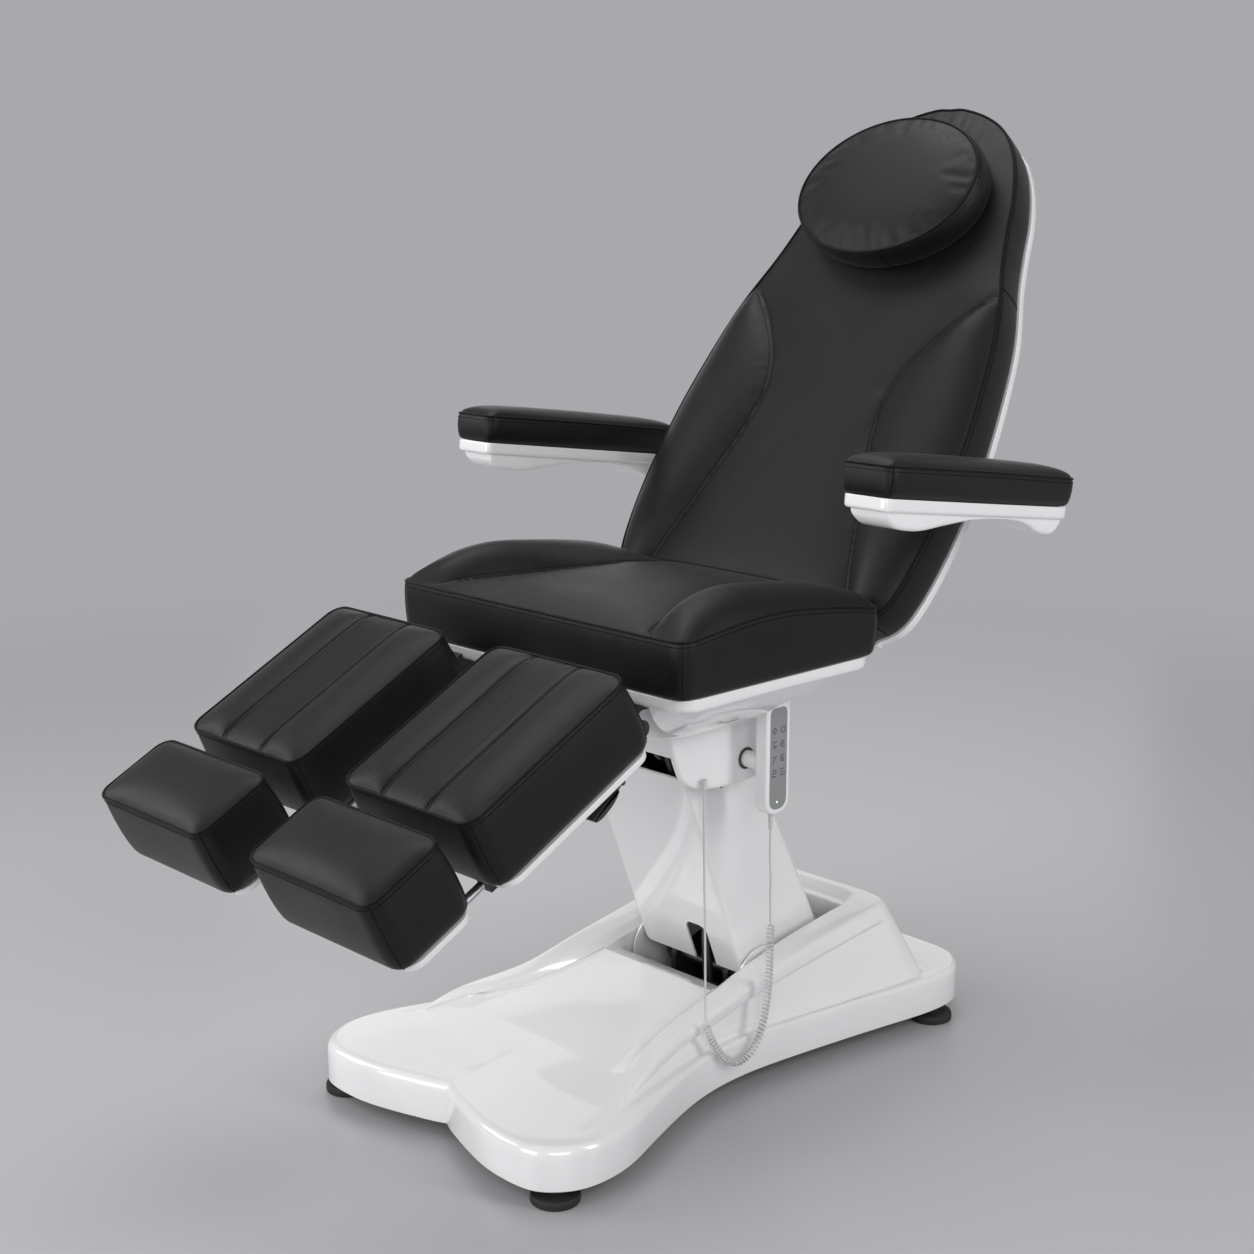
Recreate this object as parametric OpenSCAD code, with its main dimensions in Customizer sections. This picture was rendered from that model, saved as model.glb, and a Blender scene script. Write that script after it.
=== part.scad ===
// A beauty and foot care chair on a parallelogram lift: split leg rests, hinged back, swing-up armrests.
// Places are taken from the front edge of the seat (y = 0) and the floor (z = 0), with +X on the
// sitter's left and -Y towards the feet; the whole chair is then moved back so that the middle of its
// length is at the origin.

/* [Whole chair] */
// From the front edge of the seat back to the middle of the chair's length
centre_y = 235.9; // [150:0.1:320]
// Wall of the moulded plastic covers
wall = 3; // [2:0.5:5]
// Gap left between a cover and a piece that moves past it
run_gap = 3; // [1:0.5:5]

/* [Base] */
// Length of the base cover
base_l = 952; // [900:1:1010]
// How far the base cover reaches in front of the seat's front edge
base_front = 210; // [190:1:230]
// Width of the base cover over its front lobes
base_w = 540; // [520:1:580]
// Height of the base cover's lower edge over the floor
base_gap = 25; // [18:1:35]
// Height of the base cover's rim, from its lower edge
rim_h = 60; // [54:1:70]
// Radius of the rim's rounded upper edge
rim_r = 12; // [6:1:16]
// Height of the raised housing's rear edge over the floor
housing_top = 201; // [185:1:220]
// Width of the well that the lift stands in
well_w = 236; // [230:1:242]
// Front edge of the well, behind the seat's front edge
well_front = 244; // [225:1:252]
// Rear edge of the well, behind the seat's front edge
well_rear = 546; // [530:1:570]
// Diameter of a foot's rubber
foot_d = 48; // [36:1:56]
// Diameter of a foot's threaded stud
stud_d = 10; // [8:1:14]

/* [Base frame] */
// Width of the frame's side rails
rail_w = 30; // [20:1:34]
// Height of the frame's rails
rail_h = 28; // [20:1:30]
// Distance between the centre lines of the side rails
rail_span = 282; // [272:1:290]
// Thickness of the pivot ears' plate
ear_t = 10; // [6:1:12]
// Radius of a pivot ear's round end
ear_r = 22; // [18:1:26]

/* [Lift] */
// Front upper pivot, behind the seat's front edge
top_y = 207.4; // [195:0.1:220]
// Distance of the front upper pivot below the seat's piping
top_drop = 221.7; // [215:0.1:230]
// Front lower pivot, behind the seat's front edge
pivot_y = 360; // [350:1:368]
// Height of the front lower pivot
pivot_z = 115; // [108:1:122]
// Distance of the rear pivots behind the front ones
pivot_dy = 95; // [90:1:100]
// Rise of the rear pivots over the front ones
pivot_dz = 35; // [28:1:40]
// Width of an arm's side plate
link_w = 32; // [26:1:36]
// Thickness of an arm's side plate
link_t = 8; // [6:1:10]
// Diameter of the pivot pins
pin_d = 20; // [14:1:22]
// Distance between the inner faces of an arm's two plates
link_gap = 128; // [124:1:134]
// Running clearance of a pin in its bore, on the radius
fit = 0.05; // [0.02:0.01:0.1]
// Width over the front arm's cover
cover_w = 210; // [206:1:212]
// Depth of the front arm's cover
cover_depth = 64; // [58:1:70]
// Radius of the covers' upright edges
cover_r = 14; // [8:1:18]
// Width over the rear arm's cover
rear_cover_w = 196; // [190:1:198]

/* [Lift actuator] */
// Diameter of the lift actuator's tube
tube_d = 40; // [34:1:42]
// Diameter of its rod
rod_d = 16; // [12:1:20]
// Distance of its lower pivot in front of the rear lower pivot
act_dy = 124; // [118:1:130]
// Distance of its lower pivot below the rear lower pivot
act_dz = 66; // [62:1:70]
// Diameter of its pivot pins
act_pin_d = 12; // [8:1:14]

/* [Seat] */
// Width of the seat cushion
seat_w = 580; // [540:1:620]
// Length of the seat cushion
seat_l = 400; // [390:1:404]
// Height of the seat cushion's piping over the floor
seat_h = 728; // [715:1:740]
// Height of the seat cushion's sides
seat_side = 78; // [70:1:84]
// Rise of the seat's middle over its piping
seat_crown = 12; // [5:1:20]
// Rise of the thigh bolsters over the piping
bolster_h = 28; // [15:1:35]
// Radius of the seat cushion's corners
seat_r = 34; // [20:1:45]
// Height of the tray's rim under the seat
flange_h = 18; // [14:1:20]
// Depth of the tray's bowl below its rim
bowl_h = 84; // [76:1:90]
// Width of the pivot housing
housing_w = 300; // [290:1:304]
// Distance of the pivot housing's lowest point below the seat's piping
housing_drop = 270; // [258:1:278]

/* [Back] */
// Recline of the back from upright
recline = 34; // [28:1:38]
// Height of the back's widest shoulder line over the seat's piping
shoulder_rise = 379; // [362:1:392]
// Distance of the shoulder line behind the seat's front edge
shoulder_y = 699; // [690:1:710]
// Length of the back above its shoulder line
back_up = 368; // [350:1:385]
// Length of the back below its shoulder line
back_down = 520; // [505:1:530]
// Width of the back at its widest
back_w = 586; // [550:1:610]
// Thickness of the back cushion
back_t = 66; // [60:1:70]
// Thickness of the back's moulded shell
back_shell_t = 18; // [16:1:24]
// Rise of the back cushion's middle
back_crown = 10; // [4:1:18]
// Rise of the back's side bolsters
back_bolster = 22; // [12:1:30]
// Back hinge, behind the seat's front edge
hinge_y = 490; // [486:1:494]
// Distance of the back hinge below the seat's piping
hinge_drop = 64; // [60:1:68]
// Diameter of the back hinge pins
hinge_pin_d = 16; // [12:1:18]

/* [Pillow] */
// Width of the head pillow
pillow_w = 336; // [300:1:350]
// Height of the head pillow
pillow_h = 244; // [220:1:260]
// Thickness of the head pillow at its piping
pillow_t = 52; // [40:1:60]
// Rise of the pillow's middle over its piping
pillow_crown = 16; // [8:1:24]
// Distance of the pillow's middle above the shoulder line
pillow_up = 178; // [165:1:190]

/* [Back actuator] */
// Diameter of the back actuator's tube
back_tube_d = 36; // [30:1:40]
// Length of the lug that it pushes
lug_l = 60; // [54:1:66]
// Distance of its front pivot in front of the back hinge
back_act_dy = 392; // [380:1:396]
// Distance of its front pivot below the back hinge
back_act_dz = 78; // [74:1:82]

/* [Armrests] */
// Length of an armrest pad
pad_l = 424; // [380:1:450]
// Width of an armrest pad
pad_w = 86; // [70:1:92]
// Thickness of an armrest pad at its sides
pad_t = 34; // [28:1:42]
// Rise of a pad's middle
pad_crown = 6; // [3:1:10]
// Distance of an armrest's inner side from the middle of the chair
arm_in = 350; // [346:1:370]
// Armrest pivot, behind the seat's front edge
arm_y = 603.5; // [595:0.5:610]
// Height of the armrest pivot over the seat's piping
arm_rise = 101; // [92:1:110]
// Slope of an armrest, falling to the rear
arm_slope = 7.9; // [0:0.1:12]
// Thickness of an armrest shell's rim
arm_rim = 16; // [12:1:20]
// Diameter of an armrest's pin
arm_pin_d = 14; // [10:1:14]

/* [Leg rests] */
// Slope of a leg rest, falling to the feet
leg_slope = 27.5; // [15:0.5:35]
// Width of a calf cushion
calf_w = 246; // [220:1:260]
// Length of a calf cushion
calf_l = 284; // [260:1:300]
// Height of a calf cushion's sides
calf_side = 88; // [78:1:96]
// Rise of a calf cushion's middle
calf_crown = 7; // [3:1:12]
// Width of a foot cushion
foot_w = 240; // [214:1:254]
// Length of a foot cushion
foot_l = 118; // [100:1:126]
// Height of a foot cushion's sides
foot_side = 86; // [76:1:94]
// Gap between the calf cushion and the foot cushion
foot_gap = 40; // [30:1:50]
// Distance of a leg rest's middle from the middle of the chair
leg_x = 174; // [164:1:186]
// Leg hinge, in front of the seat's front edge
leg_y = 16; // [14:1:20]
// Distance of the leg hinge below the seat's piping
leg_drop = 118; // [114:1:124]
// Diameter of the leg shaft
shaft_d = 24; // [18:1:26]
// Diameter of a foot rest's slide bar
bar_d = 12; // [8:1:14]
// Travel of a foot rest along its bars
foot_travel = 120; // [80:1:130]

/* [Handset] */
// Width of the handset
hand_w = 50; // [44:1:56]
// Length of the handset
hand_l = 165; // [150:1:175]
// Thickness of the handset
hand_t = 22; // [18:1:26]
// Diameter of the peg that the handset hangs on
peg_d = 25; // [18:1:28]
// Length of the peg between the housing and the handset
peg_l = 30; // [24:1:34]
// Diameter of a key
key_d = 13; // [8:1:14]
// Distance between keys along the handset
key_pitch = 21; // [17:0.5:22]
// Travel of a key
key_travel = 0.6; // [0.3:0.1:1]
// Diameter of the handset's lead
lead_d = 3; // [2.5:0.1:3.4]
// Outer diameter of the lead's curls
curl_d = 12; // [11:0.5:13]
// Number of curls in the lead
curl_n = 56; // [40:1:60]

/* [Hidden] */
$fn = 48;

// Overrun of a cut past the face that it opens
over = 1;
// Gap under and beside a soft piece, and between covers that meet
air = 0.3;
// Colours
gloss_white = "#f2f2f0";
black_leather = "#1d1d1f";
steel = "#8b9096";
dark_plastic = "#3a3b3d";
grey_panel = "#8b8d90";
light_lead = "#d4d5d6";
rubber = "#161617";

// Base, frame and lift
rim_top = base_gap + rim_h;
frame_z = base_gap + 7;
plate_t = 8;
plate_top = frame_z + plate_t;

foot_h = base_gap - 5;
boss_d = 30;
front_foot_x = 226;
front_foot_y = -166;
rear_foot_x = 213;
rear_foot_y = 650;
link_air = 4;
ear_gap = link_gap - 2 * (ear_t + link_air);
rear_pivot_y = pivot_y + pivot_dy;
rear_pivot_z = pivot_z + pivot_dz;
top_z = seat_h - top_drop;
arm_l = norm([pivot_y - top_y, top_z - pivot_z]);
lean = atan2(pivot_y - top_y, top_z - pivot_z);
rear_top_y = top_y + pivot_dy;
rear_top_z = top_z + pivot_dz;
pin_head_t = 3;
pin_head_share = 1.4;
tie_d = 24;
front_tie_share = 0.72;
rear_tie_share = 0.48;
cover_front = link_w / 2 + 9.5;
cover_low = 41;
cover_high_gap = 33;
cover_high = arm_l - cover_high_gap;
cover_rear_shares = [[0.9, 0.92], [0.92, 0.51], [1.06, 0.25], [1.12, 0]];
rear_cover_out = 57;
rear_cover_in = 86;
rear_cover_high_gap = 90;
rear_cover_high = arm_l - rear_cover_high_gap;
rear_taper = 6;
cheek_t = 3;
cheek_d = 112;
cheek_foot = 24;
cheek_x = cover_w / 2 + run_gap;

// Lift actuator
act_x = 28;
act_y = rear_pivot_y - act_dy;
act_z = rear_pivot_z - act_dz;
act_l = norm([rear_top_y - act_y, rear_top_z - act_z]);
act_lean = atan2(act_y - rear_top_y, rear_top_z - act_z);
eye_t = 18;
rod_eye_d = 30;
gland_share = 0.5063;
rod_in_share = 0.2155;
tube_bore_share = 0.371;
gland_at = gland_share * act_l;
rod_in_tube = rod_in_share * gland_at;
tube_bore_l = tube_bore_share * act_l;
open_air = 7;
tube_eye_d = pin_d + 2 * open_air + 12;
notch_w = 46;
notch_h = 62;
act_ear_t = 6;

// Seat
seat_base = seat_h - seat_side;
board_t = 10;
board_inset = 22;
rail_top = seat_base - air - board_t;
seat_rail_w = 36;
seat_rail_h = 20;
rail_low = rail_top - seat_rail_h;
hinge_rail_x = 110;
tray_inset = 5;
bowl_front = 34;
bowl_rear = 372;
bowl_w = 520;
bowl_low_front = 96;
bowl_low_rear = 262;
bowl_low_w = 336;
bowl_r = 50;
flange_low = seat_base - air - flange_h;
bowl_low = seat_base - air - flange_h - bowl_h;
housing_front = 128;
housing_rear = 376;
housing_side_t = 8;
housing_z = seat_h - housing_drop;
housing_arch_drop = 208;
housing_arch_z = seat_h - housing_arch_drop;
housing_shares = [[0, 1], [0, 0.52], [0.05, 0.26], [0.1, 0.14], [0.19, 0.06], [0.35, 0.01], [0.51, 0],
    [0.69, 0.01], [0.84, 0.08], [0.93, 0.19], [0.98, 0.33], [1, 0.55], [1, 1]];
shaft_eye_d = 40;
shaft_l = 560;

arm_pin_up = 5;
leg_z = seat_h - leg_drop;
hinge_z = seat_h - hinge_drop;
shoulder_z = seat_h + shoulder_rise;
arm_z = seat_h + arm_rise;

// Back, in its own frame: x across, y to the rear, z up along it from the shoulder line
hinge_depth = (hinge_y - shoulder_y) * cos(recline) - (hinge_z - shoulder_z) * sin(recline);
hinge_along = (hinge_y - shoulder_y) * sin(recline) + (hinge_z - shoulder_z) * cos(recline);
arm_pin_y = arm_y + arm_pin_up * sin(arm_slope);
arm_pin_z = arm_z + arm_pin_up * cos(arm_slope);
arm_depth = (arm_pin_y - shoulder_y) * cos(recline) - (arm_pin_z - shoulder_z) * sin(recline);
arm_along = (arm_pin_y - shoulder_y) * sin(recline) + (arm_pin_z - shoulder_z) * cos(recline);
knuckle_d = 28;
knuckle_w = 14;
hinge_ear_w = 26;
notch_air = 6;
// Half widths of the back: share of the way from its lower end to its top, share of half its width
back_shares = [[0, 0.7], [0.01, 0.8], [0.035, 0.9], [0.08, 0.955], [0.16, 0.99], [0.25, 1], [0.36, 0.985],
    [0.46, 0.945], [0.54, 0.9], [0.6, 0.85], [0.68, 0.76], [0.75, 0.7], [0.81, 0.655], [0.875, 0.58],
    [0.925, 0.48], [0.96, 0.37], [0.985, 0.23], [1, 0.08]];
// Seams of the back's side bolsters, as shares of the half width at the same places
back_seam_shares = [0.76, 0.74, 0.7, 0.66, 0.6, 0.52, 0.44, 0.45, 0.56, 0.72, 0.76, 0.76, 0.76, 0.76,
    0.76, 0.76, 0.76, 0.76];
back_bolster_shares = [0, 0.4, 0.75, 1, 1, 1, 1, 0.85, 0.5, 0.1, 0, 0, 0, 0, 0, 0, 0, 0];
back_bar_t = 10;
back_bar_w = 40;
back_bar_x = 110;

// Back actuator
back_act_y = hinge_y - back_act_dy;
back_act_z = hinge_z - back_act_dz;
// Direction of the lug below the hinge, so that it stands square to the rod halfway through the travel
lug_turn = 302;
lug_y = hinge_y + lug_l * cos(lug_turn);
lug_z = hinge_z + lug_l * sin(lug_turn);
// How far the rod's eye sits under the lug's pin at rest, which is above its middle height over the travel
lug_drop = 1.2;
back_act_l = norm([lug_y - back_act_y, lug_z - lug_drop - back_act_z]);
back_act_slope = atan2(lug_z - lug_drop - back_act_z, lug_y - back_act_y);
back_gland_share = 0.6;
back_bore_share = 0.34;
back_rod_in = 40;
back_rod_d = 14;
back_eye_d = act_pin_d + 2 * open_air + 10;
back_slot_w = 62;

// Armrests, in their own frame: x across, y to the rear, z square to the pad, from the pivot
pad_top = 63;
pad_rear = 38.5;
pad_base = pad_top - pad_t;
pad_mid_x = arm_in + pad_w / 2;
hub_d = 44;
hub_w = 60;
arm_rim_low = pad_base - air - arm_rim;
front_bulge_l = 130;
rear_bulge_l = 96;
arm_bulge = 20;
arm_pin_in = 300;
// Half widths of a pad along it, from the front end to the rear end
pad_shares = [[0, 0.62], [0.03, 0.86], [0.08, 0.97], [0.2, 1], [0.5, 0.96], [0.8, 0.86], [0.94, 0.78],
    [0.985, 0.64], [1, 0.44]];

// Leg rests, in their own frame: x across, y against the foot end, z square to the calf, from the hinge
leg_top = 125;
calf_up = 36;
foot_rise = 10;
calf_base = leg_top - calf_side;
foot_top = leg_top + foot_rise;
foot_base = foot_top - foot_side;
foot_up = calf_up + calf_l + foot_gap;
shell_t = 16;
shell_inset = 5;
leg_plate_t = 5;
leg_plate_top = calf_base - 2 * air - shell_t;
leg_plate_w = 176;
leg_plate_l = 250;
leg_knuckle_d = 38;
leg_knuckle_w = 20;
leg_knuckle_x = 29;
bar_x = 70;
bar_drop = 8;
sleeve_l = 70;
sleeve_w = 22;
bar_l = 290;
bar_block_l = 30;
calf_corner_r = 30;
foot_corner_r = 26;
lever_along = 100;
lever_l = 66;
lever_x = 104;
lever_w = 26;
lever_t = 6;
lever_drop = 12;
lever_pin_d = 8;
grip_d = 20;

// Handset
hand_y = 286;
hand_drop = 226;
hand_z = seat_h - hand_drop;
hand_x = housing_w / 2 + peg_l;
peg_y = 278;
peg_drop = 235;
peg_z = seat_h - peg_drop;
ring_d = peg_d + 6;
ring_t = 4;
panel_t = 1.2;
panel_share = 0.76;
panel_l_share = 0.92;
key_t = 2.4;
key_out = 0.5;
key_air = 0.25;
key_cols = 2;
key_rows = 4;
key_gap = 17.5;
key_rise = 10.5;
relief_l = 27;
relief_d = 8;
socket_d = 8;
socket_l = 14;
curl_steps = 8;
curl_sides = 6;
curl_ramp = 1;
lead_sides = 8;

// The lead's route from the handset to its socket, whose middle stretch is curled. Its straight ends are
// drawn for a seat at lead_seat_h and follow the seat's real height.
lead_seat_h = 728;
upper_low = 259;
upper_high = 393;
lower_low = 142;
lower_high = 468;
function follow(p, low, high) = [for (q = p) [q[0], q[1],
    low + (q[2] - low) * (high + seat_h - lead_seat_h - low) / (high - low)]];
upper_route = follow([[190, 285, upper_high], [190, 285, 380], [190, 285, 350], [191, 286, 320],
    [191, 286, 290], [192, 286, upper_low]], upper_low, upper_high);
curl_route = [[192, 286, upper_low], [193, 286, 235], [194, 284, 211], [196, 281, 180], [197, 278, 152],
    [198, 272, 124], [199, 264, 100], [200, 250, 78], [200, 229, 64], [200, 206, 63], [198, 185, 76],
    [195, 169, 98], [191, 159, 121], [188, 156, lower_low]];
lower_route = follow([[188, 156, lower_low], [186, 157, 160], [183, 160, 200], [176, 166, 260],
    [168, 172, 330], [159, 180, 410], [155, 184, 455], [154.3, 185, lower_high]], lower_low, lower_high);

// Base cover: half loops from the middle of the front edge round the right side to the middle of the rear
// edge, as shares of half its width and of its length
rim_shares = [[0, 0.047], [0.11, 0.034], [0.426, 0.006], [0.64, 0], [0.815, 0.005], [0.907, 0.028],
    [0.981, 0.058], [1, 0.1], [0.97, 0.158], [0.874, 0.231], [0.722, 0.357], [0.678, 0.458],
    [0.696, 0.542], [0.741, 0.64], [0.804, 0.756], [0.856, 0.84], [0.874, 0.895], [0.852, 0.945],
    [0.741, 0.985], [0.556, 1], [0, 1]];
// The same with a height, as a share of the way from the rim's top to the housing's top
foot_line_shares = [[0, 0.095, 0.01], [0.1, 0.086, 0.01], [0.39, 0.063, 0.01], [0.61, 0.055, 0.01],
    [0.76, 0.058, 0.01], [0.83, 0.071, 0.01], [0.87, 0.095, 0.01], [0.88, 0.126, 0.01], [0.86, 0.158,
        0.01],
    [0.793, 0.22, 0], [0.659, 0.352, -0.02], [0.615, 0.458, -0.04], [0.633, 0.542, -0.06],
    [0.674, 0.64, -0.08], [0.733, 0.756, -0.08], [0.77, 0.835, -0.08], [0.763, 0.877, -0.08],
    [0.726, 0.898, -0.08], [0.611, 0.909, -0.08], [0.463, 0.91, -0.08], [0, 0.91, -0.08]];
outer_ridge_shares = [[0, 0.158, 0.06], [0.096, 0.155, 0.06], [0.35, 0.147, 0.05], [0.555, 0.145, 0.04],
    [0.674, 0.149, 0.04], [0.733, 0.16, 0.04], [0.763, 0.17, 0.04], [0.778, 0.181, 0.04],
    [0.781, 0.194, 0.05], [0.763, 0.242, 0.2], [0.663, 0.352, 0.353], [0.648, 0.463, 0.543],
    [0.633, 0.536, 0.664], [0.633, 0.63, 0.793], [0.63, 0.746, 0.914], [0.626, 0.809, 0.974],
    [0.611, 0.83, 0.99], [0.574, 0.842, 1], [0.481, 0.851, 1], [0.37, 0.853, 1], [0, 0.853, 1]];
inner_ridge_shares = [[0, 0.231, 0.13], [0.089, 0.231, 0.13], [0.296, 0.229, 0.13], [0.463, 0.227, 0.13],
    [0.548, 0.227, 0.13], [0.593, 0.229, 0.14], [0.622, 0.235, 0.16], [0.637, 0.244, 0.19],
    [0.611, 0.257, 0.224], [0.559, 0.308, 0.284], [0.515, 0.368, 0.37], [0.481, 0.462, 0.526],
    [0.463, 0.536, 0.655], [0.452, 0.63, 0.8], [0.446, 0.746, 0.93], [0.443, 0.804, 0.98],
    [0.43, 0.819, 0.99], [0.4, 0.828, 0.99], [0.352, 0.832, 0.99], [0.259, 0.834, 0.99], [0, 0.834,
        0.99]];
ramp_shares = [[0, 0.347, 0.284], [0.081, 0.347, 0.284], [0.241, 0.347, 0.28], [0.363, 0.345, 0.27],
    [0.426, 0.34, 0.25], [0.463, 0.334, 0.24], [0.496, 0.326, 0.22], [0.526, 0.315, 0.2],
    [0.541, 0.31, 0.18], [0.489, 0.378, 0.276], [0.459, 0.431, 0.362], [0.445, 0.476, 0.431]];
// Heights of the well's upper edge at the same places, as shares of the same rise
well_z_shares = [0.44, 0.44, 0.44, 0.44, 0.44, 0.44, 0.44, 0.44, 0.44, 0.45, 0.47, 0.5, 0.58, 0.74, 0.87,
    0.91, 0.91, 0.91, 0.91, 0.91, 0.91];
// Ends of the well at the same places: share of half its width, share of the way from front to rear
well_shares = [[0, 0], [0.17, 0], [0.42, 0], [0.63, 0], [0.78, 0], [0.85, 0], [0.9, 0], [0.94, 0],
    [0.96, 0.003], [0.97, 0.02], [0.98, 0.06], [0.985, 0.12], [0.985, 0.28], [0.985, 0.5], [0.985, 0.8],
    [0.975, 0.96], [0.95, 0.985], [0.86, 0.995], [0.7, 1], [0.5, 1], [0, 1]];
well_low = 66;
ledge_l = 38;
ledge_drop = 10;
curve_steps = 2;

// A point of the smooth curve from b to c, with a and d the points beside them, at share t of the way
function on_curve(a, b, c, d, t) = (2 * b + (c - a) * t + (2 * a - 5 * b + 4 * c - d) * t * t
    + (3 * b - 3 * c + d - a) * t * t * t) / 2;
// A smooth closed curve through points p, with n steps from each to the next
function closed_curve(p, n) = let (m = len(p))
    [for (i = [0 : m - 1], k = [0 : n - 1])
        on_curve(p[(i + m - 1) % m], p[i], p[(i + 1) % m], p[(i + 2) % m], k / n)];
// A smooth open curve through points p
function open_curve(p, n) = let (m = len(p))
    [for (i = [0 : m - 2], k = [0 : n - (i == m - 2 ? 0 : 1)])
        on_curve(p[max(i - 1, 0)], p[i], p[i + 1], p[min(i + 2, m - 1)], k / n)];
function flip_x(p) = len(p) == 3 ? [-p[0], p[1], p[2]] : [-p[0], p[1]];
// A half loop that starts and ends on the middle line, with its mirror image
function whole_loop(half) = concat(half, [for (i = [len(half) - 2 : -1 : 1]) flip_x(half[i])]);
function unit(v) = v / norm(v);
function middle(p) = [for (k = [0 : len(p[0])
    - 1]) (max([for (q = p) q[k]]) + min([for (q = p) q[k]])) / 2];
// The loop p moved by d to its inner side, level by level, and by dz upwards
function inset_loop(p, d, dz = 0) = let (m = len(p))
    [for (i = [0 : m - 1])
        let (t = unit([p[(i + 1) % m][0] - p[(i + m - 1) % m][0],
            p[(i + 1) % m][1] - p[(i + m - 1) % m][1]]))
            [p[i][0] - d * t[1], p[i][1] + d * t[0], p[i][2] + dz]];
function at_level(p, z) = [for (q = p) [q[0], q[1], z]];
function midway(p, q, dz) = [for (i = [0 : len(p) - 1]) (p[i] + q[i]) / 2 + [0, 0, dz]];
// Outline of a rectangle from y0 to y1 with round corners, n steps to a corner
quarter = 90;
function round_rect(w, y0, y1, r, n = 8) =
    [for (c = [[w / 2 - r, y0 + r, -1], [w / 2 - r, y1 - r, 0], [r - w / 2, y1 - r, 1],
        [r - w / 2, y0 + r, 2]], k = [0 : n]) let (a = (c[2] + k / n) * quarter)
        [c[0] + r * cos(a), c[1] + r * sin(a)]];

// Triangles of the walls between rings of n points each, from ring to ring, m rings in all
function wall_faces(n, m, wraps) = [for (j = [0 : m - (wraps ? 1 : 2)], i = [0 : n - 1])
    let (a = j * n + i, b = j * n + (i + 1) % n, c = (j + 1) % m * n + (i + 1) % n,
        d = (j + 1) % m * n + i)
        each [[a, b, c], [a, c, d]]];
// A closed skin round rings of points that run clockwise seen against the way the rings follow each other
module skin(rings) {
    n = len(rings[0]);
    m = len(rings);
    polyhedron(concat([for (r = rings) each r], [middle(rings[0]), middle(rings[m - 1])]),
        concat(wall_faces(n, m, false),
            [for (i = [0 : n - 1]) [m * n, (i + 1) % n, i]],
            [for (i = [0 : n - 1]) [m * n + 1, (m - 1) * n + i, (m - 1) * n + (i + 1) % n]]));
}
// A skin that closes on itself, like a tyre
module ring_skin(rings) {
    n = len(rings[0]);
    polyhedron([for (r = rings) each r], [for (f = wall_faces(n, len(rings), true)) [f[0], f[2], f[1]]]);
}
// A ring across a cushion at y: a flat bottom, sides drawn in by draw, piping at half width w and height
// z, and a top of [share of w, rise] pairs from the right side to the left; its sides move back by lean
function cushion_ring(y, w, bottom, z, draw, top, lean = 0) = concat(
    [[w - draw / 2, y + lean / 2, bottom], [w - draw, y + lean, (bottom + z) / 2], [w, y, z]],
    [for (p = top) [p[0] * w, y, z + p[1]]],
    [[-w, y, z], [draw - w, y + lean, (bottom + z) / 2], [draw / 2 - w, y + lean / 2, bottom]]);
function even_top(half) = concat(half, [for (i = [len(half) - 2 : -1 : 0]) flip_x(half[i])]);

// Sides of a tube's ring number k of n round the point p, square to the way t, with u as its first spoke
function tube_ring(p, t, u, r, n) = let (a = unit(u - (u * t) * t), b = cross(t, a))
    [for (k = [0 : n - 1]) p + r * (cos(360 * k / n) * a - sin(360 * k / n) * b)];
function ways(p) = let (m = len(p)) [for (i = [0 : m - 1]) unit(p[min(i + 1, m - 1)] - p[max(i - 1, 0)])];
module tube(points, d, sides, spoke) {
    t = ways(points);
    skin([for (i = [0 : len(points) - 1]) tube_ring(points[i], t[i], spoke, d / 2, sides)]);
}

module place() { translate([0, -centre_y, 0]) children(); }
module pair() { children(); mirror([1, 0, 0]) children(); }
module at_front_arm() { translate([0, pivot_y, pivot_z]) rotate([lean, 0, 0]) children(); }
module at_rear_arm() { translate([0, rear_pivot_y, rear_pivot_z]) rotate([lean, 0, 0]) children(); }
module at_actuator() { translate([act_x, act_y, act_z]) rotate([act_lean, 0, 0]) children(); }
module at_back() { translate([0, shoulder_y, shoulder_z]) rotate([-recline, 0, 0]) children(); }
module at_back_actuator() { translate([0, back_act_y, back_act_z]) rotate([back_act_slope - 90, 0,
    0]) children(); }
module at_armrest() { translate([0, arm_y, arm_z]) rotate([-arm_slope, 0, 0]) children(); }
module at_leg() { translate([leg_x, -leg_y, leg_z]) rotate([leg_slope, 0, 0]) children(); }
// A round bar along X, centred
module across(d, w) { rotate([0, 90, 0]) cylinder(d = d, h = w, center = true); }
// A plate of thickness t across X, from an outline drawn in Y and Z
module side_plate(t) { rotate([90, 0, 90]) linear_extrude(t, center = true) children(); }
module block(x, y, z) { translate([x[0], y[0], z[0]]) cube([x[1] - x[0], y[1] - y[0], z[1] - z[0]]); }
module pivot_pin(d, l) {
    across(d, l);
    for (s = [-1, 1]) translate([s * (l + pin_head_t) / 2, 0, 0]) across(d * pin_head_share, pin_head_t);
}

// Base
half_w = base_w / 2;
rim_half = [for (p = rim_shares) [p[0] * half_w, p[1] * base_l - base_front, base_gap]];
function deck_half(shares) = [for (p = shares)
    [p[0] * half_w, p[1] * base_l - base_front, rim_top + p[2] * (housing_top - rim_top)]];
function well_half(dy, dz) = [for (i = [0 : len(well_shares) - 1]) let (p = well_shares[i])
    [p[0] * well_w / 2, well_front + dy * (1 - p[1]) + p[1] * (well_rear - well_front),
        rim_top + well_z_shares[i] * (housing_top - rim_top) + dz]];
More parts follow.
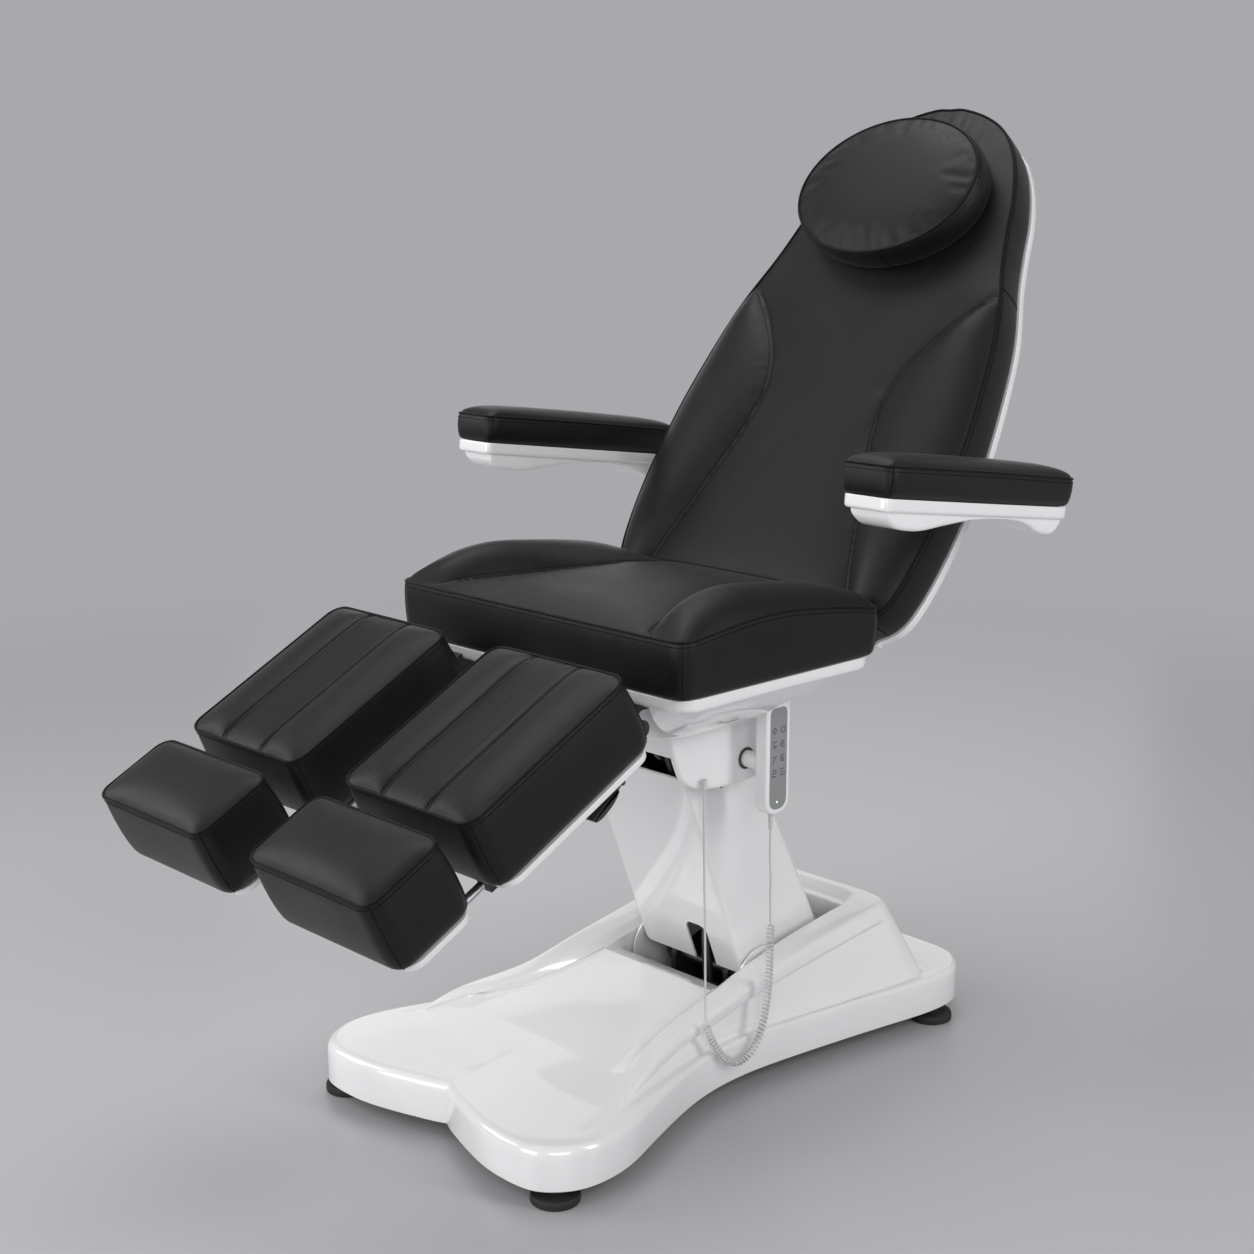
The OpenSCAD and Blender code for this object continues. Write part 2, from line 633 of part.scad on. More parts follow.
// Behind the ramp, its line runs just under the inner ridge
ramp_half = concat(deck_half(ramp_shares),
    [for (i = [len(ramp_shares) : len(inner_ridge_shares) - 1]) let (p = deck_half(inner_ridge_shares)[i],
        w = well_half(0, 0)[i]) [(p[0] + 2 * w[0]) / 3, (p[1] + 2 * w[1]) / 3, p[2] - ledge_drop / 3]]);
function loop_of(half) = closed_curve(whole_loop(half), curve_steps);

module base_cover() {
    rim = loop_of(rim_half);
    foot_line = loop_of(deck_half(foot_line_shares));
    outer_ridge = loop_of(deck_half(outer_ridge_shares));
    inner_ridge = loop_of(deck_half(inner_ridge_shares));
    ramp = loop_of(ramp_half);
    well = loop_of(well_half(0, 0));
    ledge = loop_of(well_half(ledge_l, -ledge_drop));
    color(gloss_white) place() ring_skin([
        rim,
        at_level(rim, rim_top - rim_r),
        at_level(inset_loop(rim, rim_r * (1 - cos(45))), rim_top - rim_r * (1 - sin(45))),
        at_level(inset_loop(rim, rim_r), rim_top),
        foot_line, outer_ridge, inner_ridge, ramp, well, ledge,
        at_level(ledge, well_low),
        at_level(inset_loop(ledge, -wall), well_low),
        inset_loop(ledge, -wall, -wall),
        inset_loop(ramp, -wall, -wall),
        midway(outer_ridge, inner_ridge, -2 * wall),
        inset_loop(foot_line, wall, -wall),
        at_level(inset_loop(rim, rim_r), rim_top - wall),
        at_level(inset_loop(rim, wall), rim_top - rim_r),
        at_level(inset_loop(rim, wall), base_gap)]);
}

module ear_outline() {
    difference() {
        union() {
            polygon([[pivot_y - ear_r, plate_top], [pivot_y - ear_r, pivot_z], [rear_pivot_y - ear_r,
                rear_pivot_z],
                [rear_pivot_y + ear_r, rear_pivot_z], [rear_pivot_y + ear_r, plate_top]]);
            translate([pivot_y, pivot_z]) circle(r = ear_r);
            translate([rear_pivot_y, rear_pivot_z]) circle(r = ear_r);
        }
        translate([pivot_y, pivot_z]) circle(r = pin_d / 2 + fit);
        translate([rear_pivot_y, rear_pivot_z]) circle(r = pin_d / 2 + fit);
    }
}
module at_feet() {
    pair() translate([front_foot_x, front_foot_y, 0]) children();
    pair() translate([rear_foot_x, rear_foot_y, 0]) children();
}
module base_frame() {
    plate = inset_loop(loop_of(rim_half), wall + air);
    color(steel) place() {
        difference() {
            union() {
                translate([0, 0, frame_z]) linear_extrude(plate_t) polygon([for (p = plate) [p[0],
                    p[1]]]);
                at_feet() translate([0, 0, frame_z]) cylinder(d = boss_d, h = rail_h);
                pair() block([rail_span / 2 - rail_w / 2, rail_span / 2 + rail_w / 2],
                    [front_foot_y + boss_d, rear_foot_y - boss_d], [plate_top, frame_z + rail_h]);
            }
            at_feet() translate([0, 0, frame_z - over]) cylinder(d = stud_d + 2 * fit,
                h = rail_h + 2 * over);
        }
        pair() translate([ear_gap / 2 + ear_t / 2, 0, 0]) side_plate(ear_t) ear_outline();
        for (s = [-1, 1]) translate([act_x + s * (eye_t / 2 + air + act_ear_t / 2), 0,
            0]) side_plate(act_ear_t)
            difference() {
                union() {
                    translate([act_y - rod_eye_d / 2, plate_top]) square([rod_eye_d, act_z - plate_top]);
                    translate([act_y, act_z]) circle(d = rod_eye_d);
                }
                translate([act_y, act_z]) circle(r = act_pin_d / 2 + fit);
            }
    }
}
module foot_studs() {
    color(steel) place() at_feet() translate([0, 0, foot_h / 2]) cylinder(d = stud_d,
        h = frame_z + rail_h - foot_h / 2);
}
module levelling_feet() {
    color(rubber) place() at_feet() difference() {
        union() {
            cylinder(d = foot_d, h = foot_h / 2);
            translate([0, 0, foot_h / 2]) cylinder(d1 = foot_d, d2 = foot_d / 2, h = foot_h / 2);
        }
        translate([0, 0, foot_h / 2]) cylinder(d = stud_d, h = foot_h);
    }
}
module pivot_cheeks() {
    color(gloss_white) place() pair() {
        translate([cheek_x + cheek_t / 2, 0, 0]) side_plate(cheek_t) {
            translate([pivot_y, pivot_z]) circle(d = cheek_d);
            translate([pivot_y - cheek_d / 2, plate_top]) square([cheek_d, pivot_z - plate_top]);
        }
        block([cheek_x - cheek_foot, cheek_x + cheek_t / 2], [pivot_y - cheek_d / 2,
            pivot_y + cheek_d / 2],
            [plate_top, plate_top + cheek_t]);
    }
}
module lower_pins() {
    pin_l = link_gap + 2 * link_t + 2 * air;
    color(steel) place() {
        translate([0, pivot_y, pivot_z]) pivot_pin(pin_d, pin_l);
        translate([0, rear_pivot_y, rear_pivot_z]) pivot_pin(pin_d, pin_l);
        translate([act_x, act_y, act_z]) pivot_pin(act_pin_d, eye_t + 2 * (act_ear_t + air));
    }
}

// Lift
module arm_links(tie_share) {
    difference() {
        union() {
            pair() translate([(link_gap + link_t) / 2, 0, 0]) side_plate(link_t) {
                circle(d = link_w);
                translate([0, arm_l]) circle(d = link_w);
                translate([-link_w / 2, 0]) square([link_w, arm_l]);
            }
            translate([0, 0, arm_l * tie_share]) across(tie_d, link_gap + link_t);
        }
        for (z = [0, arm_l]) translate([0, 0, z]) across(pin_d + 2 * fit,
            link_gap + 2 * link_t + 2 * over);
    }
}
module front_arm() { color(steel) place() at_front_arm() arm_links(front_tie_share); }
module rear_arm() { color(steel) place() at_rear_arm() arm_links(rear_tie_share); }
// A channel of width w along the arm, from y0 to y1, with round front edges and an open rear
module channel(w, y0, y1, r, h) {
    translate([0, 0, -h / 2]) linear_extrude(2 * h) difference() {
        outline(w, y0, y1, r);
        outline(w - 2 * wall, y0 + wall, y1 + over, r - wall);
    }
}
module outline(w, y0, y1, r) {
    for (s = [-1, 1]) translate([s * (w / 2 - r), y0 + r]) circle(r = r);
    translate([r - w / 2, y0]) square([w - 2 * r, y1 - y0]);
    translate([-w / 2, y0 + r]) square([w, y1 - y0 - r]);
}
// Ribs inside a cover of width w, against the arm's plates, at share of the arm's length
module ribs(w, y) {
    rib_t = 5;
    for (share = [0.42, 0.68]) pair() block([link_gap / 2 + link_t + air, w / 2 - wall / 2], y,
        [share * arm_l, share * arm_l + rib_t]);
}
module front_arm_cover() {
    rear = cover_depth - cover_front;
    color(gloss_white) place() at_front_arm() ribs(cover_w, [-cover_front + wall / 2, -link_w / 4]);
    color(gloss_white) place() at_front_arm() difference() {
        intersection() {
            channel(cover_w, -cover_front, cover_depth, cover_r, arm_l);
            side_plate(cover_w) polygon(concat([[-cover_front, cover_low], [-cover_front, cover_high]],
                [for (p = cover_rear_shares) [p[0] * rear, p[1] * arm_l]]));
        }
        block([act_x - notch_w / 2, act_x + notch_w / 2], [-cover_front - over,
            over - cover_front + wall],
            [0, cover_low + notch_h]);
    }
}
module rear_arm_cover() {
    color(gloss_white) place() at_rear_arm() ribs(rear_cover_w, [link_w / 4, link_w]);
    color(gloss_white) place() at_rear_arm() intersection() {
        rotate([rear_taper, 0, 0]) mirror([0, 1, 0])
            channel(rear_cover_w, -rear_cover_out, rear_cover_in + link_w, cover_r, arm_l);
        side_plate(rear_cover_w) polygon([[-rear_cover_in, cover_low / 2], [-rear_cover_in,
            rear_cover_high],
            [rear_cover_out, rear_cover_high], [rear_cover_out + link_w, -cover_low / 4]]);
    }
}
module lift_actuator_rod() {
    color(steel) place() at_actuator() difference() {
        union() {
            across(rod_eye_d, eye_t);
            cylinder(d = rod_d, h = gland_at + rod_in_tube);
        }
        across(act_pin_d + 2 * fit, eye_t + over);
    }
}
module lift_actuator_tube() {
    color(dark_plastic) place() at_actuator() difference() {
        union() {
            translate([0, 0, gland_at]) cylinder(d = tube_d, h = act_l - gland_at - tube_eye_d / 2);
            translate([0, 0, act_l]) across(tube_eye_d, eye_t);
            block([-eye_t / 2, eye_t / 2], [-tube_d / 2, tube_d / 2], [act_l - tube_eye_d,
                act_l - tube_eye_d / 3]);
        }
        translate([0, 0, gland_at - over]) cylinder(d = rod_d + 2 * fit, h = tube_bore_l);
        translate([0, 0, act_l]) across(pin_d + 2 * open_air, eye_t + over);
    }
}

// Seat
// Way that a round corner of radius r takes off a side at y, on a piece of length l
function corner(y, l, r) = y < r ? r - sqrt(r * r - pow(r - y, 2)) : y > l - r ? corner(l - y, l, r) : 0;
function sign_at(i, n) = i == 0 ? 1 : i == n - 1 ? -1 : 0;
// Top of a cushion between its bolsters: bolster rise b, middle rise c, seam at a share, groove g
function bolstered(b, c, seam, g) = even_top([[0.975, 0.45 * b], [0.9, b], [(0.9 + seam) / 2,
    0.8 * b + 0.1 * c],
    [seam + 0.03, 0.25 * b + 0.35 * c], [seam, 0.4 * c - g], [seam - 0.03, 0.5 * c], [0.6 * seam,
        0.85 * c],
    [0.3 * seam, 0.97 * c], [0, c]]);
// Stations of the seat: share of its length, share of the bolsters, share of the side's rise, seam
seat_stations = [[0, 0, 0, 0.8], [0.025, 0.2, 0.03, 0.76], [0.085, 0.45, 0.15, 0.71], [0.2, 0.75, 0.45,
    0.66],
    [0.35, 1, 0.8, 0.61], [0.5, 1, 1, 0.57], [0.65, 0.9, 1, 0.52], [0.8, 0.65, 0.95, 0.48], [0.915,
        0.35, 0.85, 0.46],
    [0.975, 0.12, 0.8, 0.46], [1, 0, 0.8, 0.46]];
side_rise = 12;
groove = 2;
seat_draw = 5;
module seat_cushion() {
    color(black_leather) place() skin([for (i = [0 : len(seat_stations) - 1])
        let (q = seat_stations[i], y = q[0] * seat_l, z = seat_h + q[2] * side_rise)
            cushion_ring(y, seat_w / 2 - corner(y, seat_l, seat_r), seat_base, z, seat_draw,
                bolstered(q[1] * (bolster_h - q[2] * side_rise),
                    (q[0] == 0 ? 0 : seat_crown) - q[2] * side_rise,
                    q[3], groove * (q[0] > 0 && q[0] < 1 ? 1 : 0)), seat_draw * sign_at(i,
                        len(seat_stations)))]);
}
module rail_outline() {
    circle(d = shaft_eye_d);
    weld_front = leg_y + board_inset + board_t;
    polygon([[0, -shaft_eye_d / 2], [0, shaft_eye_d / 2], [leg_y + tray_inset, rail_top - leg_z],
        [weld_front, rail_top - leg_z], [weld_front, rail_top + over - leg_z],
        [bowl_low_rear, rail_top + over - leg_z], [bowl_low_rear, rail_low - leg_z], [shaft_eye_d,
            rail_low - leg_z]]);
}
module hinge_rail_outline() {
    weld_rear = seat_l - board_inset - board_t;
    translate([hinge_y, hinge_z]) circle(d = hinge_ear_w);
    polygon([[housing_front + wall, rail_low], [housing_front + wall, rail_top + over],
        [weld_rear, rail_top + over], [weld_rear, rail_top], [hinge_y - hinge_ear_w, rail_top],
        [hinge_y - hinge_ear_w / 2, hinge_z], [hinge_y + hinge_ear_w / 2, hinge_z],
        [hinge_y + hinge_ear_w / 2, rail_top], [hinge_y - over, rail_low]]);
}
module pivot_ear_outline() {
    polygon([[top_y - ear_r, top_z], [top_y - ear_r, rail_top + over], [rear_top_y + ear_r,
        rail_top + over],
        [rear_top_y + ear_r, rear_top_z], [rear_top_y, rear_top_z - ear_r], [top_y, top_z - ear_r]]);
    translate([top_y, top_z]) circle(r = ear_r);
    translate([rear_top_y, rear_top_z]) circle(r = ear_r);
}
module seat_frame() {
    bore_l = 2 * seat_w;
    ear_d = back_tube_d - 4;
    color(steel) place() difference() {
        union() {
            translate([0, 0, rail_top]) linear_extrude(board_t)
                polygon(round_rect(seat_w - 2 * board_inset, board_inset, seat_l - board_inset, seat_r));
            pair() translate([leg_x, -leg_y, leg_z]) side_plate(seat_rail_w) rail_outline();
            pair() translate([hinge_rail_x, 0, 0]) side_plate(hinge_ear_w) hinge_rail_outline();
            pair() translate([(ear_gap + ear_t) / 2, 0, 0]) side_plate(ear_t) pivot_ear_outline();
            pair() translate([(back_tube_d + act_ear_t) / 2 + air, back_act_y, 0]) side_plate(act_ear_t) {
                translate([0, back_act_z]) circle(d = ear_d);
                translate([-ear_d / 2, back_act_z]) square([ear_d, rail_top + over - back_act_z]);
            }
        }
        translate([0, -leg_y, leg_z]) across(shaft_d + 2 * fit, bore_l);
        translate([0, hinge_y, hinge_z]) across(hinge_pin_d + 2 * fit, bore_l);
        translate([0, top_y, top_z]) across(pin_d + 2 * fit, bore_l);
        translate([0, rear_top_y, rear_top_z]) across(pin_d + 2 * fit, bore_l);
        translate([0, back_act_y, back_act_z]) across(act_pin_d + 2 * fit,
            back_tube_d + 2 * act_ear_t + 2 * over);
    }
}
module upper_pins() {
    color(steel) place() {
        translate([0, top_y, top_z]) pivot_pin(pin_d, link_gap + 2 * link_t + 2 * air);
        translate([0, rear_top_y, rear_top_z]) pivot_pin(pin_d, link_gap + 2 * link_t + 2 * air);
        translate([0, back_act_y, back_act_z]) pivot_pin(act_pin_d,
            back_tube_d + 2 * act_ear_t + 4 * air);
    }
}
// Levels of the tray's bowl: share of its depth, share of the way from its upper to its lower outline
bowl_shares = [[0, 0], [0.5, 0.36], [0.84, 0.76], [0.96, 0.93], [1, 1.05]];
module bowl(t) {
    skin([for (q = bowl_shares) let (m = q[1])
        [for (p = round_rect(bowl_w + m * (bowl_low_w - bowl_w) - 2 * t,
            bowl_front + m * (bowl_low_front - bowl_front) + t,
                bowl_rear + m * (bowl_low_rear - bowl_rear) - t,
            bowl_r - t)) [p[0], p[1], flange_low
                + (t > 0 && q[0] == 0 ? over : 0) - q[0] * (bowl_h - t)]]]);
}
// Hollow in the bowl's side that leaves room for the handset, grown by d
module hand_pocket(d) {
    pocket_air = 12;
    slab(hand_x - pocket_air / 2 - d, seat_w, hand_w + 2 * (pocket_air + d),
        hand_l + 2 * (pocket_air + d),
        2 * pocket_air + d);
}
module seat_tray() {
    rail_air = 1;
    color(gloss_white) place() difference() {
        union() {
            difference() {
                translate([0, 0, flange_low]) linear_extrude(flange_h)
                    polygon(round_rect(seat_w - 2 * tray_inset, tray_inset, seat_l - tray_inset, seat_r));
                translate([0, 0, rail_top - air]) linear_extrude(flange_h)
                    polygon(round_rect(seat_w - 2 * board_inset + 2 * air, board_inset - air,
                        seat_l - board_inset + air, seat_r));
            }
            difference() {
                bowl(0);
                hand_pocket(0);
            }
        }
        difference() {
            bowl(wall);
            hand_pocket(wall);
        }
        translate([0, 0, flange_low - over]) linear_extrude(flange_h)
            polygon(round_rect(bowl_w - 2 * wall, bowl_front + wall, bowl_rear - wall, bowl_r - wall));
        block([-housing_w / 2 - air, housing_w / 2 + air], [housing_front - air, housing_rear + air],
            [bowl_low - over, rail_top]);
        block([-housing_w / 2, housing_w / 2], [housing_front, seat_l], [rail_low - rail_air, rail_top]);
        pair() block([leg_x - seat_rail_w / 2 - rail_air, leg_x + seat_rail_w / 2 + rail_air],
            [-over, bowl_low_front], [rail_low - rail_air - over, rail_top]);
    }
}
module pivot_housing() {
    top = rail_low - air;
    side = open_curve([for (p = housing_shares) [housing_front + p[0] * (housing_rear - housing_front),
        housing_z + p[1] * (top - housing_z)]], 3);
    inner_w = housing_w - 2 * housing_side_t;
    color(gloss_white) place() difference() {
        side_plate(housing_w) polygon(side);
        block([-inner_w / 2, inner_w / 2], [housing_front + housing_side_t, housing_rear + over],
            [housing_z - over, top + over]);
        block([-inner_w / 2, inner_w / 2], [housing_front - over, housing_rear], [housing_z - over,
            housing_arch_z]);
        block([-back_tube_d / 2 - run_gap, back_tube_d / 2 + run_gap], [housing_front - over,
            housing_rear],
            [back_act_z - back_tube_d / 2 - run_gap, top + over]);
    }
}
module leg_shaft() { color(steel) place() translate([0, -leg_y, leg_z]) across(shaft_d, shaft_l); }
module back_hinge_pins() {
    color(steel) place() pair() translate([hinge_rail_x, hinge_y, hinge_z])
        pivot_pin(hinge_pin_d, hinge_ear_w + 2 * knuckle_w + 2 * notch_air);
}

// Handset
module handset_peg() {
    color(gloss_white) place() translate([housing_w / 2 + peg_l / 2, peg_y, peg_z]) across(peg_d, peg_l);
}
module peg_ring() {
    color(dark_plastic) place() translate([housing_w / 2 + ring_t / 2, peg_y, peg_z]) difference() {
        across(ring_d, ring_t);
        across(peg_d + 2 * fit, ring_t + over);
    }
}
// A slab across X from x0, of thickness t, with round corners of radius r seen from its side
module slab(x0, t, w, l, r) {
    translate([x0, hand_y, hand_z]) rotate([90, 0, 90]) linear_extrude(t)
        polygon([for (p = round_rect(w, -l / 2, l / 2, r)) p]);
}
module at_keys() {
    for (i = [0 : key_cols * key_rows - 1])
        translate([0, hand_y + (i % key_cols - 0.5) * key_gap, key_z(i)]) children();
}
function key_z(i) = hand_z + key_rise + ((key_rows - 1) / 2 - floor(i / key_cols)) * key_pitch;
panel_w = panel_share * hand_w;
panel_l = panel_l_share * hand_l;
hand_r = 12;
hand_edge = 4;
key_floor = hand_x + hand_t + key_out - key_t - key_travel - key_air;
module handset_shell() {
    color(gloss_white) place() difference() {
        union() {
            slab(hand_x + hand_edge, hand_t - 2 * hand_edge, hand_w, hand_l, hand_r);
            slab(hand_x, hand_t, hand_w - hand_edge, hand_l - hand_edge, hand_r - hand_edge / 2);
        }
        slab(hand_x + hand_t - panel_t, panel_t + over, panel_w + 2 * fit, panel_l + 2 * fit, hand_r / 2);
        at_keys() translate([(key_floor + hand_x + hand_t) / 2, 0, 0])
            across(key_d + 2 * key_air, hand_x + hand_t - key_floor);
    }
}
module handset_panel() {
    color(grey_panel) place() difference() {
        slab(hand_x + hand_t - panel_t, panel_t, panel_w, panel_l, hand_r / 2);
        at_keys() translate([hand_x + hand_t, 0, 0]) across(key_d + 2 * key_air, hand_t);
    }
}
module key(i) {
    color(grey_panel) place() translate([hand_x + hand_t + key_out - key_t / 2,
        hand_y + (i % key_cols - 0.5) * key_gap, key_z(i)]) across(key_d, key_t);
}
module key_1() { key(0); }
module key_2() { key(1); }
module key_3() { key(2); }
module key_4() { key(3); }
module key_5() { key(4); }
module key_6() { key(5); }
module key_7() { key(6); }
module key_8() { key(7); }
module strain_relief() {
    low = upper_route[0];
    color(light_lead) place() translate(low) cylinder(d1 = lead_d + 1, d2 = relief_d,
        h = hand_z - hand_l / 2 - low[2]);
}
module lead_socket() {
    end = lower_route[len(lower_route) - 1];
    color(dark_plastic) place() translate(end) cylinder(d = socket_d, h = socket_l);
}
module lead_ends() {
    upper_steps = 4;
    lower_steps = 6;
    color(light_lead) place() {
        tube(open_curve(upper_route, upper_steps), lead_d, lead_sides, [1, 0, 0]);
        tube(open_curve(lower_route, lower_steps), lead_d, lead_sides, [1, 0, 0]);
    }
}
// Running length of points p, as a list that starts at zero
function lengths(p) = [for (i = 0, s = 0; i < len(p); i = i + 1,
    s = s + (i < len(p) ? norm(p[i] - p[i - 1]) : 0)) s];
// The point at running length s of points p whose running lengths are q
function along(p, q, s) = [for (k = [0 : 2]) lookup(s, [for (i = [0 : len(p) - 1]) [q[i], p[i][k]]])];
function eased(t) = let (u = min(max(t, 0), 1)) u * u * (3 - 2 * u);
module curly_lead() {
    fine_steps = 8;
    p = open_curve(curl_route, fine_steps);
    q = lengths(p);
    total = q[len(q) - 1];
    straight = lead_d;
    curls_l = total - 2 * straight;
    n = curl_n * curl_steps;
    way = ways(p);
    at = [for (k = [-1 : n + 1]) k < 0 ? 0 : k > n ? total : straight + curls_l * k / n];
    spokes = [for (i = [0 : n + 2]) let (t = unit(along(way, q, at[i])), a = unit(cross(t, cross([1, 0,
        0], t))),
        b = cross(t, a), turn = 360 * min(max(i - 1, 0), n) / curl_steps) cos(turn) * a + sin(turn) * b];
    r = (curl_d - lead_d) / 2;
    line = [for (i = [0 : n + 2]) along(p, q, at[i])
        + r * eased((i - 1) / curl_steps / curl_ramp)
            * eased((n + 1 - i) / curl_steps / curl_ramp) * spokes[i]];
    m = len(line);
    t = [for (i = [0 : m - 1]) i == 0 || i == m - 1 ? way[i == 0 ? 0 : len(p) - 1]
        : unit(line[i + 1] - line[i - 1])];
    apart = min([for (i = [0 : m - 1],
        j = [i + floor(curl_steps / 2) + 1 : 1 : m - 1]) norm(line[i] - line[j])]);
    echo(least_gap_of_the_curls_to_themselves = apart - lead_d, curled_length = total);
    color(light_lead) place() skin([for (i = [0 : m - 1]) tube_ring(line[i], t[i], spokes[i], lead_d / 2,
        curl_sides)]);
}

// Back actuator
module back_actuator_tube() {
    tube_l = back_gland_share * back_act_l;
    color(dark_plastic) place() at_back_actuator() difference() {
        union() {
            across(back_tube_d, back_tube_d);
            cylinder(d = back_tube_d, h = tube_l);
        }
        across(act_pin_d + 2 * fit, back_tube_d + over);
        translate([0, 0, tube_l - back_bore_share * back_act_l]) cylinder(d = back_rod_d + 2 * fit,
            h = tube_l);
    }
}
module back_actuator_rod() {
    color(steel) place() at_back_actuator() difference() {
        union() {
            translate([0, 0, back_gland_share * back_act_l - back_rod_in])
                cylinder(d = back_rod_d, h = back_act_l
                    * (1 - back_gland_share) + back_rod_in - back_eye_d / 2 + over);
            translate([0, 0, back_act_l]) across(back_eye_d, eye_t);
        }
        translate([0, 0, back_act_l]) across(act_pin_d + 2 * open_air, eye_t + over);
    }
}

// Back
back_l = back_up + back_down;
function back_y(share) = share * back_l - back_down;
function back_outline(d) = closed_curve(whole_loop(concat([[0, -back_down + d]],
    [for (q = back_shares) [max(q[1] * back_w / 2 - d, 0), max(min(back_y(q[0]), back_up - d),
        d - back_down)]],
    [[0, back_up - d]])), 3);
// Pieces drawn flat, with their front up, laid against the plane at depth y of the back
module against_back(y) { translate([0, y, 0]) rotate([90, 0, 0]) children(); }
module hinge_notches(y0) {
    half = hinge_ear_w / 2 + knuckle_w + pin_head_t + notch_air + run_gap;
    top = hinge_along + knuckle_d / 2 + notch_air;
    pair() block([hinge_rail_x - half, hinge_rail_x + half], [y0, 2 * back_t], [-back_down - over, top]);
}
back_draw = 5;
back_notch_depth = 46;
module back_cushion() {
    n = len(back_shares);
    color(black_leather) place() at_back() difference() {
        against_back(back_t) skin([for (i = [0 : n - 1]) let (q = back_shares[i])
            cushion_ring(back_y(q[0]), q[1] * back_w / 2, 0, back_t, back_draw * min(q[1] + 0.2, 1),
                bolstered(back_bolster_shares[i] * back_bolster, i == 0 || i == n - 1 ? 0 : back_crown,
                    back_seam_shares[i], i == 0 || i == n - 1 ? 0 : groove), back_draw * sign_at(i, n))]);
        hinge_notches(back_notch_depth);
    }
}
module back_shell() {
    arm_slot = arm_pin_d + 2 * over;
    color(gloss_white) place() at_back() difference() {
        against_back(back_t + air + back_shell_t)
            linear_extrude(back_shell_t) polygon(back_outline(over));
        against_back(back_t + air + back_shell_t - wall)
            linear_extrude(back_shell_t) polygon(back_outline(over + wall));
        hinge_notches(back_t);
        block([-back_slot_w / 2, back_slot_w / 2], [back_t, 2 * back_t],
            [-back_down - over, hinge_along + 3 * knuckle_d]);
        block([-back_w, back_w], [back_t, arm_depth + arm_slot / 2], [arm_along - arm_slot / 2,
            arm_along + arm_slot / 2]);
    }
}
bar_y = back_t + 2 * air;
cross_low = hinge_along + knuckle_d / 2 + notch_air + run_gap;
module back_bar(x, s) { block(x, [bar_y, bar_y + back_bar_t], s); }
module back_frame() {
    bar_end = 246;
    arm_bar_t = 14.4;
    lug_at_y = (lug_y - shoulder_y) * cos(recline) - (lug_z - shoulder_z) * sin(recline);
    lug_at_z = (lug_y - shoulder_y) * sin(recline) + (lug_z - shoulder_z) * cos(recline);
    lug_d = 2 * act_pin_d;
    color(steel) place() at_back() difference() {
        union() {
            pair() for (s = [-1, 1]) translate([hinge_rail_x
                + s * (hinge_ear_w / 2 + over + knuckle_w / 2), 0, 0]) {
                translate([0, hinge_depth, hinge_along]) across(knuckle_d, knuckle_w);
                back_bar([-knuckle_w / 2, knuckle_w / 2], [hinge_along, cross_low + over]);
            }
            pair() back_bar([back_bar_x - back_bar_w / 2, back_bar_x + back_bar_w / 2], [cross_low,
                back_up / 3]);
            back_bar([-hinge_rail_x - back_bar_w, hinge_rail_x + back_bar_w], [cross_low,
                cross_low + back_bar_w]);
            block([-bar_end, bar_end], [bar_y, bar_y + arm_bar_t],
                [arm_along - back_bar_w / 2, arm_along + back_bar_w / 2]);
            for (s = [-1, 1]) translate([s * (eye_t + act_ear_t + over) / 2, 0,
                0]) side_plate(act_ear_t) {
                translate([lug_at_y, lug_at_z]) circle(d = lug_d);
                polygon([[bar_y, cross_low + over], [bar_y, cross_low + back_bar_w],
                    [bar_y + back_bar_t, cross_low + back_bar_w],
                    [lug_at_y + lug_d / 2, lug_at_z], [lug_at_y - lug_d / 2, lug_at_z],
                    [bar_y + back_bar_t, cross_low + over]]);
            }
            translate([0, lug_at_y, lug_at_z]) across(act_pin_d, eye_t + 2 * act_ear_t);
        }
        translate([0, hinge_depth, hinge_along]) across(hinge_pin_d + 2 * fit, back_w);
    }
}
module armrest_pins() {
    pin_start = 246;
    collar_start = 293.5;
    collar_d = 22;
    pin_end = pad_mid_x + pad_w / 4;
    color(steel) place() pair() translate([0, arm_pin_y, arm_pin_z]) {
        translate([(pin_start + pin_end) / 2, 0, 0]) across(arm_pin_d, pin_end - pin_start);
        translate([(collar_start + arm_in) / 2, 0, 0]) across(collar_d, arm_in - collar_start - air);
    }
}
module head_pillow() {
    rings = 10;
    first = 14;
    draw = 3;
    color(black_leather) place() at_back() against_back(-back_crown - air) translate([0, pillow_up, 0])
        skin([for (i = [0 : rings]) let (a = first + (180 - 2 * first) * i / rings,
            c = pillow_crown * sin(a))
            cushion_ring(-pillow_h / 2 * cos(a), pillow_w / 2 * sin(a), 0, pillow_t, draw,
                even_top([[0.94, c / 3], [0.8, 0.62 * c], [0.55, 0.86 * c], [0.28, 0.97 * c], [0, c]]))]);
}

// Armrests
function pad_y(share) = pad_rear - pad_l + share * pad_l;
pad_draw = 2;
module armrest_pad_left() {
    n = len(pad_shares);
    color(black_leather) place() at_armrest() translate([pad_mid_x, 0, 0]) skin([for (i = [0 : n - 1])
        let (q = pad_shares[i], c = i == 0 || i == n - 1 ? over : pad_crown)
            cushion_ring(pad_y(q[0]), q[1] * pad_w / 2, pad_base, pad_top, pad_draw,
                even_top([[0.93, 0.4 * c], [0.75, 0.75 * c], [0.4, 0.95 * c], [0, c]]))]);
}
module pad_prism(d, z0, z1) {
    translate([pad_mid_x, 0, z0]) linear_extrude(z1 - z0) polygon(open_curve(concat(
        [for (q = pad_shares) [q[1] * pad_w / 2 - d, min(max(pad_y(q[0]), pad_y(0) + d), pad_rear - d)]],
        [for (i = [len(pad_shares) - 1 : -1 : 0]) let (q = pad_shares[i])
            [d - q[1] * pad_w / 2, min(max(pad_y(q[0]), pad_y(0) + d), pad_rear - d)]]), 3));
}
